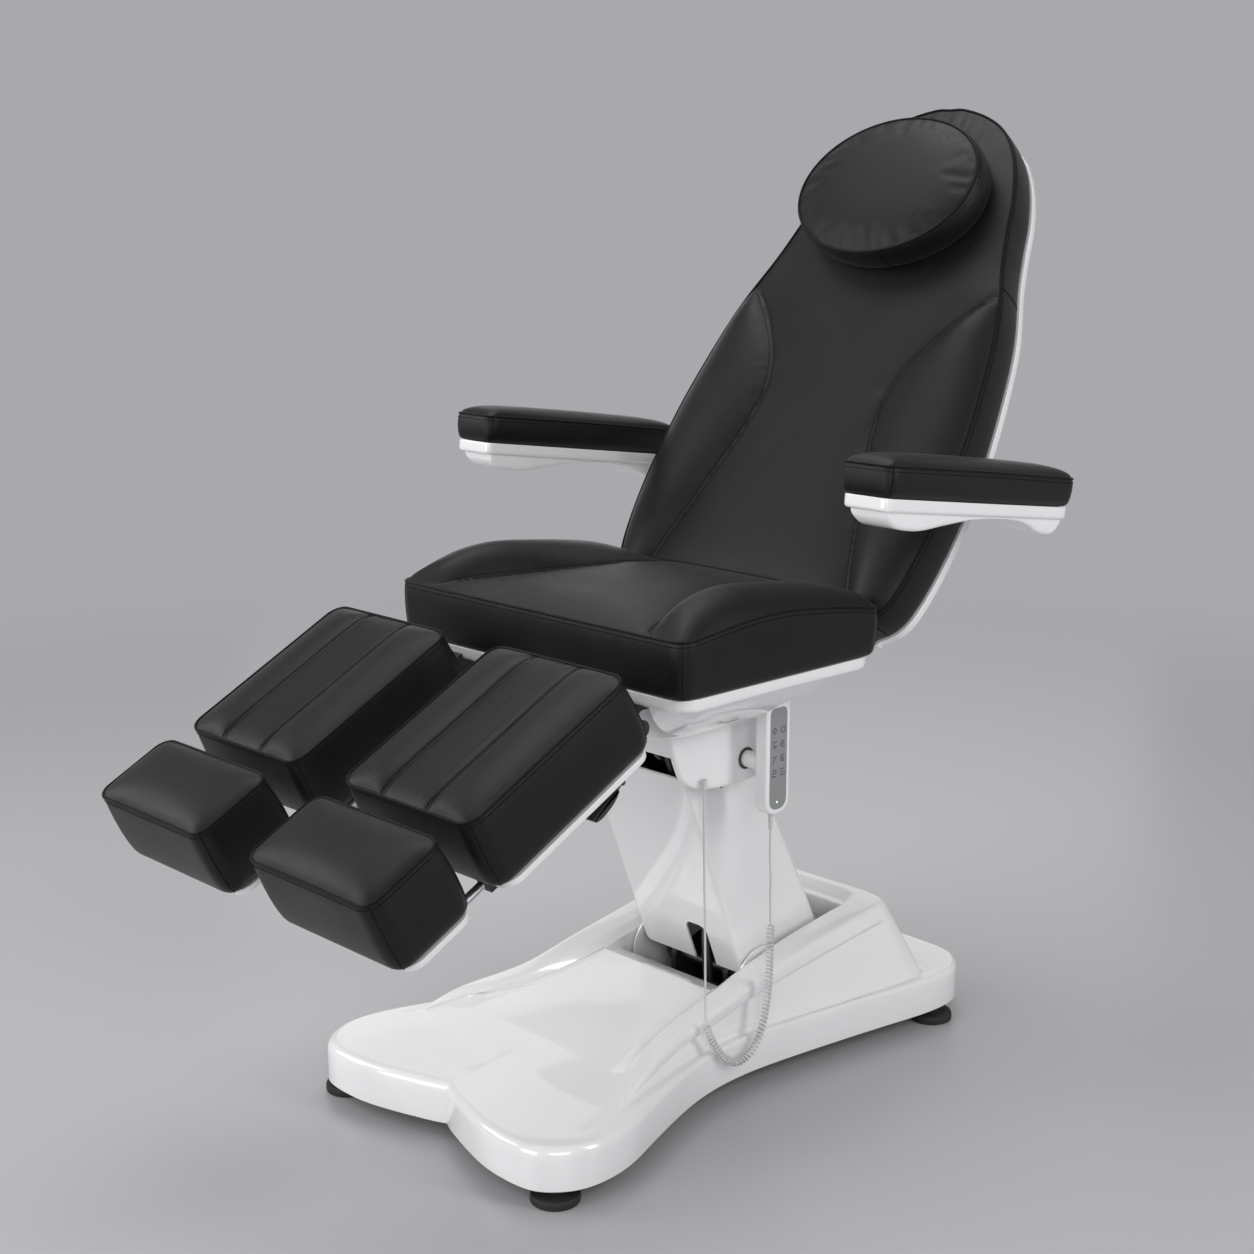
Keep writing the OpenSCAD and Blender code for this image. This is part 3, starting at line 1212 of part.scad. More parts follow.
// Lower edge of an armrest shell, as shares of its length and of the bulge's depth
bulge_shares = [[0.035, 0], [0.045, 0.45], [0.08, 0.85], [0.14, 1], [0.22, 0.96], [0.34, 0.6], [0.46,
    0.25],
    [0.6, 0.12], [0.72, 0.2], [0.79, 0.5], [0.85, 0.88], [0.91, 1], [0.945, 0.85], [0.965, 0.4], [0.97,
        0]];
module armrest_shell_left() {
    rim_inset = 5;
    bulge_inset = 9;
    top = pad_base - air;
    edge = open_curve([for (q = bulge_shares) [pad_y(q[0]), arm_rim_low - q[1] * arm_bulge]], 3);
    color(gloss_white) place() at_armrest() difference() {
        union() {
            pad_prism(rim_inset, arm_rim_low, top);
            intersection() {
                pad_prism(bulge_inset, arm_rim_low - arm_bulge - over, arm_rim_low + over);
                translate([pad_mid_x, 0, 0]) side_plate(pad_w)
                    polygon(concat(edge, [[pad_rear, arm_rim_low + 2 * over], [pad_y(0),
                        arm_rim_low + 2 * over]]));
            }
        }
        translate([0, 0, arm_pin_up]) across(arm_pin_d + 2 * fit, 2 * (pad_mid_x + pad_w / 4 + over));
    }
}
module armrest_pad_right() { mirror([1, 0, 0]) armrest_pad_left(); }
module armrest_shell_right() { mirror([1, 0, 0]) armrest_shell_left(); }

// Leg rests
leg_sleeve_y = calf_l + calf_up - bar_block_l / 3;
bar_z = leg_plate_top - leg_plate_t - bar_drop;
foot_block_y = foot_up + foot_l / 2;
foot_block_top = foot_base - 2 * air - shell_t;
module leg_frame_left() {
    ear_x = [lever_x - lever_w, lever_x - lever_w / 2 - over];
    color(steel) place() at_leg() difference() {
        union() {
            for (s = [-1, 1]) translate([s * leg_knuckle_x, 0, 0]) side_plate(leg_knuckle_w) {
                circle(d = leg_knuckle_d);
                polygon([[0, -leg_knuckle_d / 3], [0, leg_knuckle_d / 2], [-leg_knuckle_d,
                    leg_plate_top - over],
                    [-2 * calf_up - leg_knuckle_d, leg_plate_top - over],
                        [-2 * calf_up - leg_knuckle_d, over]]);
            }
            block([-leg_plate_w / 2, leg_plate_w / 2], [-leg_plate_l - 2 * shaft_d, -2 * shaft_d],
                [leg_plate_top - leg_plate_t, leg_plate_top]);
            for (s = [-1, 1]) block([s * bar_x - sleeve_w / 2, s * bar_x + sleeve_w / 2],
                [-leg_sleeve_y, sleeve_l - leg_sleeve_y], [bar_z - sleeve_w / 2,
                    leg_plate_top - leg_plate_t / 2]);
            block(ear_x, [-lever_along - lever_drop, lever_drop - lever_along], [-over, leg_plate_top]);
            translate([lever_x, -lever_along, leg_plate_top / 2 - over]) across(lever_pin_d,
                lever_w + 2 * over + lever_t);
        }
        across(shaft_d + 2 * fit, leg_plate_w);
        for (s = [-1, 1]) translate([s * bar_x, 0, bar_z]) rotate([90, 0, 0])
            cylinder(d = bar_d + 2 * fit, h = 2 * calf_l);
    }
}
module cushion_box(w, l, up, low, high, crown, r, grooves) {
    stations = [0, 0.06, 0.2, 0.5, 0.8, 0.94, 1];
    n = len(stations);
    draw = 4;
    color(black_leather) skin([for (i = [0 : n - 1]) let (y = stations[i] * l, end = i == 0 || i == n - 1,
        c = end ? over : crown, g = end ? 0 : grooves * groove)
            cushion_ring(y - up - l, w / 2 - corner(max(y, over), l + over, r), low, high, draw,
                even_top([[0.95, 0.4 * c], [0.82, 0.7 * c], [0.6, 0.85 * c], [0.38, 0.93 * c], [0.35,
                    0.93 * c - g],
                    [0.32, 0.94 * c], [0, c]]), draw * sign_at(i, n))]);
}
module shell_dish(w, l, up, top, r) {
    outer = round_rect(w - 2 * shell_inset, shell_inset - up - l, -up - shell_inset, r);
    inner = round_rect(w - 2 * shell_inset - 2 * wall, shell_inset + wall - up - l,
        -up - shell_inset - wall, r - wall);
    color(gloss_white) difference() {
        translate([0, 0, top - shell_t]) linear_extrude(shell_t) polygon(outer);
        translate([0, 0, top - shell_t + wall]) linear_extrude(shell_t) polygon(inner);
    }
}
module calf_cushion_left() {
    place() at_leg() cushion_box(calf_w, calf_l, calf_up, calf_base, leg_top, calf_crown,
        calf_corner_r, 1);
}
module foot_cushion_left() {
    place() at_leg() cushion_box(foot_w, foot_l, foot_up, foot_base, foot_top, calf_crown,
        foot_corner_r, 0);
}
module calf_shell_left() { place() at_leg() shell_dish(calf_w, calf_l, calf_up, calf_base - air,
    calf_corner_r); }
module foot_shell_left() { place() at_leg() shell_dish(foot_w, foot_l, foot_up, foot_base - air,
    foot_corner_r); }
module foot_bars_left() {
    color(steel) place() at_leg() {
        for (s = [-1, 1]) translate([s * bar_x, -foot_block_y, bar_z]) rotate([-90, 0,
            0]) cylinder(d = bar_d, h = bar_l);
        block([-bar_x - sleeve_w / 2, bar_x + sleeve_w / 2], [-foot_block_y - bar_block_l / 2,
            bar_block_l / 2 - foot_block_y],
            [bar_z - bar_d, foot_block_top]);
    }
}
module release_lever_left() {
    grip_w = lever_w - 2;
    pivot_up = leg_plate_top / 2 - over;
    color(dark_plastic) place() at_leg() translate([lever_x + over, -lever_along,
        pivot_up]) difference() {
        union() {
            across(2 * lever_pin_d, grip_w);
            side_plate(grip_w) polygon([[0, lever_pin_d], [0, -lever_pin_d / 2], [-lever_l,
                -lever_drop - grip_d / 4],
                [-lever_l, -lever_drop + grip_d / 4]]);
            translate([0, -lever_l, -lever_drop]) across(grip_d, grip_w);
        }
        across(lever_pin_d + 2 * fit, lever_w);
    }
}
module leg_frame_right() { mirror([1, 0, 0]) leg_frame_left(); }
module calf_cushion_right() { mirror([1, 0, 0]) calf_cushion_left(); }
module foot_cushion_right() { mirror([1, 0, 0]) foot_cushion_left(); }
module calf_shell_right() { mirror([1, 0, 0]) calf_shell_left(); }
module foot_shell_right() { mirror([1, 0, 0]) foot_shell_left(); }
module foot_bars_right() { mirror([1, 0, 0]) foot_bars_left(); }
module release_lever_right() { mirror([1, 0, 0]) release_lever_left(); }

base_cover();
base_frame();
foot_studs();
levelling_feet();
pivot_cheeks();
lower_pins();
front_arm();
front_arm_cover();
rear_arm();
rear_arm_cover();
lift_actuator_rod();
lift_actuator_tube();
seat_frame();
upper_pins();
seat_tray();
pivot_housing();
seat_cushion();
leg_shaft();
back_hinge_pins();
handset_peg();
peg_ring();
handset_shell();
handset_panel();
strain_relief();
lead_ends();
curly_lead();
lead_socket();
key_1();
key_2();
key_3();
key_4();
key_5();
key_6();
key_7();
key_8();
back_actuator_tube();
back_actuator_rod();
back_frame();
back_shell();
back_cushion();
armrest_pins();
head_pillow();
armrest_shell_left();
armrest_shell_right();
armrest_pad_left();
armrest_pad_right();
leg_frame_left();
leg_frame_right();
calf_shell_left();
calf_shell_right();
calf_cushion_left();
calf_cushion_right();
foot_bars_left();
foot_bars_right();
foot_shell_left();
foot_shell_right();
foot_cushion_left();
foot_cushion_right();
release_lever_left();
release_lever_right();
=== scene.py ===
import math
from functools import partial

import bmesh
import bpy
import numpy as np
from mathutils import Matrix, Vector


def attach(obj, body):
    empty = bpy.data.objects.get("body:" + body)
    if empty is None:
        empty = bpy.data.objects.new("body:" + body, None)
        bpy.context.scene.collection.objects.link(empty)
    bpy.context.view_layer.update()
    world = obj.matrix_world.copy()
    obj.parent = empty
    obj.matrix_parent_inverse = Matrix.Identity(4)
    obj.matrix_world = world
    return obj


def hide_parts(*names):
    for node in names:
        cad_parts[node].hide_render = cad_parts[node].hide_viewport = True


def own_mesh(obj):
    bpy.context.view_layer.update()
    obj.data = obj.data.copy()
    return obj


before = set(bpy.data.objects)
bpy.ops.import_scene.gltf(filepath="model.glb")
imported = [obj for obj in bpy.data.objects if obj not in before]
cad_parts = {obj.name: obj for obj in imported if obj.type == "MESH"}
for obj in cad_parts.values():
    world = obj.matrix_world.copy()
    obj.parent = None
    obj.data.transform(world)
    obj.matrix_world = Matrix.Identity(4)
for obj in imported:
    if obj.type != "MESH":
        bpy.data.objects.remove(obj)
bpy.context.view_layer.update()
scene = bpy.context.scene

# The chair's sizes below are in millimetres from the front edge of the seat and the floor
SEAT_FRONT = 235.9
SIDES = ((1, "left"), (-1, "right"))
# Where each tilted part is carried, and how many degrees it is turned about X
BACK_AT, BACK_TURN = (0, 699, 1107), -34
LEG_AT, LEG_TURN = (174, -16, 610), 27.5
ARMREST_AT, ARMREST_TURN = (393, 603.5, 829), -7.9
FRONT_ARM_AT, ARM_TURN = (0, 360, 115), 21.3


# ---- shaping ----

def in_row(points):
    """Millimetres from the seat's front edge, turned into metres in the chair's own frame."""
    p = np.array(points, float).reshape(-1, 3) / 1000
    p[:, 1] -= SEAT_FRONT / 1000
    return p


def tilted(points, origin, degrees):
    """Points of a piece that is turned about X and carried at origin."""
    p = np.asarray(points, float)
    c, s = math.cos(math.radians(degrees)), math.sin(math.radians(degrees))
    y, z = p[..., 1], p[..., 2]
    return np.stack([p[..., 0] + origin[0], y * c - z * s + origin[1], y * s + z * c + origin[2]], -1)


def on_back(points):
    return tilted(points, BACK_AT, BACK_TURN)


def against_back(points, depth=0.0):
    """Points drawn flat (across, up the back, height towards the sitter) laid on the plane at depth."""
    p = np.asarray(points, float)
    return on_back(np.stack([p[..., 0], depth - p[..., 2], p[..., 1]], -1))


def on_leg(points, side=1):
    return tilted(points, LEG_AT, LEG_TURN) * (side, 1, 1)


def on_armrest(points, side=1):
    return tilted(points, ARMREST_AT, ARMREST_TURN) * (side, 1, 1)


def on_front_arm(points):
    return tilted(points, FRONT_ARM_AT, ARM_TURN)


def spline(points, steps, closed=False):
    """A smooth line through points, with that many steps from each to the next."""
    p = np.asarray(points, float)
    if closed:
        a, b, c, d = np.roll(p, 1, 0), p, np.roll(p, -1, 0), np.roll(p, -2, 0)
    else:
        q = np.vstack([p[:1], p, p[-1:]])
        a, b, c, d = q[:-3], q[1:-2], q[2:-1], q[3:]
    t = (np.arange(steps) / steps)[None, :, None]
    a, b, c, d = (k[:, None] for k in (a, b, c, d))
    line = (2 * b + (c - a) * t + (2 * a - 5 * b + 4 * c - d) * t ** 2 + (3 * b - 3 * c + d - a) * t ** 3) / 2
    line = line.reshape(-1, p.shape[1])
    return line if closed else np.vstack([line, p[-1:]])


def running(line):
    return np.r_[0, np.cumsum(np.linalg.norm(np.diff(line, axis=0), axis=1))]


def even(line, count):
    """The same line with count evenly spaced points."""
    line = np.asarray(line, float)
    s = running(line)
    t = np.linspace(0, s[-1], count)
    return np.stack([np.interp(t, s, line[:, k]) for k in range(line.shape[1])], -1)


def unit(v):
    v = np.asarray(v, float)
    return v / np.maximum(np.linalg.norm(v, axis=-1, keepdims=True), 1e-9)


def outward(loop):
    """Plan directions square to a closed loop that runs anticlockwise, pointing out of it."""
    t = unit(np.roll(loop, -1, 0) - np.roll(loop, 1, 0))
    return np.stack([t[:, 1], -t[:, 0]], -1)


def spread(loop, distance):
    """A closed plan loop moved outwards by distance."""
    return loop + outward(loop) * np.asarray(distance).reshape(-1, 1)


def circle(count, radius=1):
    """Plan points round a circle, anticlockwise."""
    turn = np.linspace(0, 2 * math.pi, count + 1)[:-1]
    return np.column_stack([radius * np.cos(turn), radius * np.sin(turn)])


def round_rect(x0, x1, y0, y1, r, steps=8, mid=6):
    """An anticlockwise outline with round corners, with points along its straight sides too."""
    corners = []
    for x, y, start in ((x0 + r, y0 + r, 180), (x1 - r, y0 + r, 270), (x1 - r, y1 - r, 0), (x0 + r, y1 - r, 90)):
        turn = np.radians(np.linspace(start, start + 90, steps + 1))
        corners.append(np.column_stack([x + r * np.cos(turn), y + r * np.sin(turn)]))
    return np.vstack([part for k in range(4) for part in (
        corners[k], np.linspace(corners[k][-1], corners[(k + 1) % 4][0], mid + 1)[1:-1])])


def at_height(loop, z):
    loop = np.asarray(loop, float)
    return np.column_stack([loop[:, :2], np.broadcast_to(z, len(loop))])


def standing(outline, x):
    """An outline drawn in Y and Z, set up at x."""
    return np.column_stack([np.full(len(outline), x), outline])


def turned(count, centre, profile, lay=at_height):
    """Rings of a turned body; profile lists (radius, place along its axis)."""
    return [lay(circle(count, r) + centre, along) for r, along in profile]


def bend(start, corner, end, steps):
    """A smooth way round a corner, from start to end."""
    return [(1 - t) ** 2 * start + 2 * t * (1 - t) * corner + t * t * end for t in np.linspace(0, 1, steps + 1)]


def eased(levels, radii, steps=4):
    """Rings of a loft whose corners from ring to ring are rounded, each by its own radius."""
    levels = np.asarray(levels, float)
    out = [levels[0]]
    for k in range(1, len(levels) - 1):
        p = levels[k]
        a, b = levels[k - 1] - p, levels[k + 1] - p
        la, lb = np.linalg.norm(a, axis=1, keepdims=True), np.linalg.norm(b, axis=1, keepdims=True)
        r = np.minimum(np.minimum(np.asarray(radii[k], float).reshape(-1, 1), 0.48 * la), 0.48 * lb)
        if np.max(r) <= 0:
            out.append(p)
            continue
        out += bend(p + a / np.maximum(la, 1e-9) * r, p, p + b / np.maximum(lb, 1e-9) * r, steps)
    out.append(levels[-1])
    return np.array(out)


def rounded(outline, radii, steps=5):
    """A closed flat outline with its corners rounded."""
    p = np.asarray(outline, float)
    n = len(p)
    radii = np.broadcast_to(radii, n)
    out = []
    for k in range(n):
        a, b = p[k - 1] - p[k], p[(k + 1) % n] - p[k]
        la, lb = np.linalg.norm(a), np.linalg.norm(b)
        r = min(radii[k], 0.49 * la, 0.49 * lb)
        if r <= 0:
            out.append(p[k])
            continue
        out += bend(p[k] + a / la * r, p[k], p[k] + b / lb * r, steps)
    return np.array(out)


def walls(m, n):
    """Faces between m rings of n points each."""
    rows, columns = np.arange(m - 1)[:, None] * n, np.arange(n)[None, :]
    a, b = rows + columns, rows + (columns + 1) % n
    return np.stack([a, b, b + n, a + n], -1).reshape(-1, 4).tolist()


def loft(rings):
    """A skin over rings of points; its ends are closed flat."""
    rings = np.asarray(rings, float)
    m, n = rings.shape[:2]
    return rings.reshape(-1, 3), walls(m, n) + [list(range(n))[::-1], list(range((m - 1) * n, m * n))]


def hoop(rings):
    """A skin that closes on itself, like a tyre."""
    rings = np.asarray(rings, float)
    m, n = rings.shape[:2]
    return rings.reshape(-1, 3), [[v % (m * n) for v in face] for face in walls(m + 1, n)]


def tube(line, radius, sides=8, closed=False, spoke=(0, 0, 1)):
    """A round tube along a line of points."""
    p = np.asarray(line, float)
    way = unit(np.roll(p, -1, 0) - np.roll(p, 1, 0)) if closed else unit(np.gradient(p, axis=0))
    u = np.zeros_like(p)
    last = np.array(spoke, float)
    for i in range(len(p)):
        last = last - way[i] * (last @ way[i])
        if np.linalg.norm(last) < 1e-6:
            last = np.cross(way[i], (0.3, 0.5, 0.8))
        last = last / np.linalg.norm(last)
        u[i] = last
    v = np.cross(way, u)
    a = np.arange(sides) / sides * 2 * math.pi
    radius = np.broadcast_to(radius, len(p))[:, None, None]
    rings = p[:, None] + radius * (np.cos(a)[None, :, None] * u[:, None] + np.sin(a)[None, :, None] * v[:, None])
    return hoop(rings) if closed else loft(rings)


def far_from(points, line):
    """How far each plan point lies from a line."""
    points, line = np.asarray(points, float)[:, :2], np.asarray(line, float)[:, :2]
    a, d = line[:-1], np.diff(line, axis=0)
    size = np.maximum((d ** 2).sum(1), 1e-9)
    out = np.empty(len(points))
    for k in range(0, len(points), 4000):
        p = points[k:k + 4000, None, :]
        t = np.clip(((p - a) * d).sum(2) / size, 0, 1)
        out[k:k + 4000] = np.sqrt((((p - a) - t[..., None] * d) ** 2).sum(2)).min(1)
    return out


def ring_closed(loop):
    return np.vstack([loop, loop[:1]])


# ---- making pieces ----

def linked(name, data):
    """A new object in the scene."""
    made = bpy.data.objects.new(name, data)
    scene.collection.objects.link(made)
    return made


def placed(name, points, faces, edges=()):
    """A new mesh object from points in metres."""
    mesh = bpy.data.meshes.new(name)
    mesh.from_pydata(points.tolist(), edges, faces)
    return linked(name, mesh)


def cleaned(mesh, closed=True):
    """Points that coincide are joined, and the faces of a closed shape turned outwards."""
    work = bmesh.new()
    work.from_mesh(mesh)
    bmesh.ops.remove_doubles(work, verts=work.verts, dist=1e-6)
    if closed:
        bmesh.ops.recalc_face_normals(work, faces=work.faces)
    work.to_mesh(mesh)
    work.free()


def shaded(made, sharp=38):
    """Smooth shading, with edges sharper than that many degrees kept sharp."""
    made.data.shade_smooth()
    made.data.set_sharp_from_angle(angle=math.radians(sharp))


def evaluated(made):
    """A plain mesh of what an object's modifiers make."""
    bpy.context.view_layer.update()
    return bpy.data.meshes.new_from_object(made.evaluated_get(bpy.context.evaluated_depsgraph_get()))


def piece(name, parts, body, stands_for=(), sharp=38, closed=True):
    """One mesh from parts, each (points in millimetres, faces, material), that rides on a body."""
    points, faces, picks, materials = [], [], [], []
    count = 0
    for p, f, material in parts:
        if material not in materials:
            materials.append(material)
        points.append(np.asarray(p, float).reshape(-1, 3))
        faces += [[v + count for v in face] for face in f]
        picks += [materials.index(material)] * len(f)
        count += len(points[-1])
    made = placed(name, in_row(np.vstack(points)), faces)
    mesh = made.data
    mesh.polygons.foreach_set("material_index", picks)
    for material in materials:
        mesh.materials.append(material)
    cleaned(mesh, closed)
    shaded(made, sharp)
    settle(made, body, stands_for)
    return made


def settle(made, body, stands_for=()):
    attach(made, body)
    if stands_for:
        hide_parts(*stands_for)


def cut(made, *tools):
    """Cuts closed shapes out of a piece."""
    for points, faces in tools:
        tool = placed("tool", in_row(points), faces)
        cleaned(tool.data)
        change = made.modifiers.new("cut", "BOOLEAN")
        change.operation, change.solver, change.object = "DIFFERENCE", "EXACT", tool
        ready = evaluated(made)
        made.modifiers.remove(change)
        old, made.data = made.data, ready
        bpy.data.meshes.remove(old)
        bpy.data.objects.remove(tool)
    shaded(made)


def block(x, y, z, r=0.0):
    """A box with round upright corners, for cutting."""
    loop = rounded([(x[0], y[0]), (x[1], y[0]), (x[1], y[1]), (x[0], y[1])], r)
    return loft([at_height(loop, z[0]), at_height(loop, z[1])])


def across(outline, x0, x1):
    """A prism along X from an outline drawn in Y and Z."""
    return loft([standing(outline, x) for x in (x0, x1)])


# ---- materials ----

def node(owner, kind, inputs=None, **settings):
    """A new node in the tree of a material or world, or in a tree itself; sockets given as inputs are joined."""
    tree = getattr(owner, "node_tree", owner)
    made = tree.nodes.new(kind)
    for key, value in settings.items():
        setattr(made, key, value)
    for key, value in (inputs or {}).items():
        if isinstance(value, bpy.types.NodeSocket):
            tree.links.new(value, made.inputs[key])
        else:
            made.inputs[key].default_value = value
    return made


def join(material, source, shader, name):
    material.node_tree.links.new(source, shader.inputs[name])


def finish(name, colour, **fixed):
    """A material whose shader has these fixed values; returns it with its shader and a place socket."""
    material = bpy.data.materials.new(name)
    material.use_nodes = True
    shader = material.node_tree.nodes["Principled BSDF"]
    shader.inputs["Base Color"].default_value = (*colour, 1)
    for key, value in fixed.items():
        shader.inputs[key.replace("_", " ")].default_value = value
    material.diffuse_color = (*colour, 1)
    return material, shader, node(material, "ShaderNodeTexCoord").outputs["Object"]


def cloudy(material, place, scale, detail, roughness=0.5):
    return node(material, "ShaderNodeTexNoise", {"Vector": place, "Scale": scale, "Detail": detail,
                                                 "Roughness": roughness}).outputs["Fac"]


def drawn_out(material, place, scale):
    """The place socket scaled by axis, for a pattern that is longer one way."""
    return node(material, "ShaderNodeMapping", {"Vector": place, "Scale": scale}).outputs["Vector"]


def tinted(material, shader, source, low, dark, high, light):
    """The colour goes from dark to light as source goes from low to high."""
    made = node(material, "ShaderNodeValToRGB", {"Fac": source})
    for element, at, colour in zip(made.color_ramp.elements, (low, high), (dark, light)):
        element.position, element.color = at, (*colour, 1)
    join(material, made.outputs["Color"], shader, "Base Color")


def glossed(material, shader, source, high, rough):
    """The roughness goes from rough[0] to rough[1] as source goes from 0.3 to high."""
    made = node(material, "ShaderNodeMapRange", {"Value": source, "From Min": 0.3, "From Max": high,
                                                 "To Min": rough[0], "To Max": rough[1]})
    join(material, made.outputs["Result"], shader, "Roughness")


def join_bumps(material, shader, *bumps):
    """Bumps from the broadest to the finest, each (height socket, depth in metres, strength)."""
    below = {}
    for height, depth, strength in bumps:
        normal = node(material, "ShaderNodeBump", {"Height": height, "Distance": depth, "Strength": strength,
                                                   **below}).outputs["Normal"]
        below = {"Normal": normal}
    join(material, normal, shader, "Normal")


def leather(name, dark, light, rough=(0.36, 0.46), grain=1.0, stretch=None, shine=0.22):
    """Black artificial leather: a pebbled grain of about a millimetre, soft creases and worn tones."""
    material, shader, place = finish(name, light, Specular_IOR_Level=shine, Sheen_Weight=0.04, Sheen_Roughness=0.4)
    pebble = node(material, "ShaderNodeTexVoronoi", {"Vector": place, "Scale": 900.0, "Randomness": 0.9},
                  feature="DISTANCE_TO_EDGE").outputs["Distance"]
    pores = cloudy(material, place, 2600.0, 2.0)
    creases = cloudy(material, place, 26.0, 3.0, 0.45)
    wear = cloudy(material, place, 7.0, 5.0, 0.6)
    tinted(material, shader, wear, 0.3, dark, 0.7, light)
    glossed(material, shader, wear, 0.7, rough)
    bumps = [(creases, 0.0012, 0.35)]
    if stretch is not None:
        bumps.append((cloudy(material, drawn_out(material, place, stretch), 1.0, 3.0), 0.0008, 0.5))
    join_bumps(material, shader, *bumps, (pebble, 0.00022 * grain, 0.8), (pores, 0.00006 * grain, 0.5))
    return material


def moulded(name, colour, shade, rough, coat=0.0, texture=700.0, depth=0.00003):
    """Moulded plastic: a faint skin, slow changes of tone and fine wipe marks in its gloss."""
    material, shader, place = finish(name, colour, Coat_Weight=coat, Coat_Roughness=0.03)
    tinted(material, shader, cloudy(material, place, 5.0, 4.0), 0.35, shade, 0.65, colour)
    wiped = cloudy(material, drawn_out(material, place, (60.0, 260.0, 60.0)), 1.0, 4.0, 0.7)
    glossed(material, shader, wiped, 0.75, rough)
    join_bumps(material, shader, (cloudy(material, place, 22.0, 1.0), 0.0003, 0.25),
               (cloudy(material, place, texture, 2.0), depth, 0.5))
    return material


def metal(name, colour, rough, metallic=1.0, brushed=(900.0, 40.0, 40.0)):
    """Metal with fine lines from its last working and a few dull patches."""
    material, shader, place = finish(name, colour, Metallic=metallic)
    dull = cloudy(material, place, 30.0, 4.0)
    tinted(material, shader, dull, 0.3, tuple(0.8 * c for c in colour), 0.7, colour)
    glossed(material, shader, dull, 0.75, rough)
    join_bumps(material, shader, (cloudy(material, drawn_out(material, place, brushed), 1.0, 3.0), 0.00004, 0.5))
    return material


black_leather = leather("black_leather", (0.005, 0.005, 0.0053), (0.0075, 0.0075, 0.008))
calf_leather = leather("calf_leather", (0.005, 0.005, 0.0053), (0.0075, 0.0075, 0.008), stretch=(420, 9, 9))
# The piping's leather is darker than the panels' leather: painted shade along the welts, where the seams lie in
# shadow
piping_leather_with_painted_shade = leather("piping_leather_with_painted_shade", (0.003, 0.003, 0.0032), (0.005, 0.005, 0.0053), (0.36, 0.44), 0.6,
                         shine=0.1)
thread = leather("thread", (0.003, 0.003, 0.003), (0.006, 0.006, 0.006), (0.5, 0.6), 0.5, shine=0.1)
gloss_white = moulded("gloss_white", (0.86, 0.862, 0.866), (0.83, 0.832, 0.836), (0.12, 0.2), coat=1.0)
painted_steel = metal("powder_coated_steel", (0.022, 0.022, 0.024), (0.42, 0.55), 0.1, (900, 900, 900))
bright_steel = metal("bright_steel", (0.62, 0.63, 0.64), (0.18, 0.3))
blackened_steel = metal("blackened_steel", (0.13, 0.13, 0.135), (0.4, 0.5))
# Dark plastic for the actuator tubes, lever grips and hook ring; the same material is also put on the insides of
# the covers as painted shade
dark_plastic = moulded("dark_plastic", (0.035, 0.035, 0.038), (0.028, 0.028, 0.03), (0.38, 0.5), depth=0.00008,
                       texture=1500)
foot_rubber = moulded("foot_rubber", (0.016, 0.016, 0.016), (0.012, 0.012, 0.012), (0.6, 0.75), depth=0.0002)
grey_film = moulded("grey_film", (0.27, 0.275, 0.28), (0.25, 0.255, 0.26), (0.35, 0.42), texture=2000)
dark_print = moulded("dark_print", (0.03, 0.03, 0.032), (0.025, 0.025, 0.027), (0.4, 0.5))
pale_lead = moulded("pale_lead", (0.62, 0.625, 0.63), (0.56, 0.565, 0.57), (0.35, 0.45))
lamp_white, lamp_shader, _ = finish("signal_lamp", (0.9, 0.92, 0.9), Roughness=0.2, Emission_Strength=0.6)
lamp_shader.inputs["Emission Color"].default_value = (0.9, 1, 0.9, 1)

# The solids that show as they are
for material, names in (
        (painted_steel, ["base_frame", "front_arm", "rear_arm", "seat_frame", "back_frame", "leg_frame_left",
                         "leg_frame_right"]),
        (blackened_steel, ["lower_pins", "upper_pins", "lift_actuator_rod"]),
        (bright_steel, ["foot_studs", "back_hinge_pins", "back_actuator_rod", "armrest_pins", "foot_bars_left",
                        "foot_bars_right"]),
        (dark_plastic, ["lift_actuator_tube", "back_actuator_tube"]),
        (pale_lead, ["lead_socket"]),
        (gloss_white, ["pivot_cheeks", "rear_arm_cover"])):
    for name in names:
        skins = bpy.data.objects[name].data.materials
        skins.clear()
        skins.append(material)
# The rear cover's inside faces take the dark material as painted shade, so the opening through the cover reads
# dark
rear_inner_half = 0.0965
rear_cover = bpy.data.objects["rear_arm_cover"].data
rear_cover.materials.append(dark_plastic)
for face in rear_cover.polygons:
    face.material_index = int(abs(face.center.x) < rear_inner_half and face.normal.y < 0.3)


# ---- the camera ----

lens = bpy.data.cameras.new("camera")
lens.sensor_width = 36
# Both in pixels of the photograph
focal_length, picture_width = 1948.2, 1254
lens.lens = focal_length / picture_width * lens.sensor_width
camera = linked("camera", lens)
camera.location = (1.95928, -1.94958, 1.28645)
camera.rotation_euler = Vector((-0.7012, 0.6788, -0.2183)).to_track_quat("-Z", "Y").to_euler()
scene.camera = camera


# ---- the lead ----

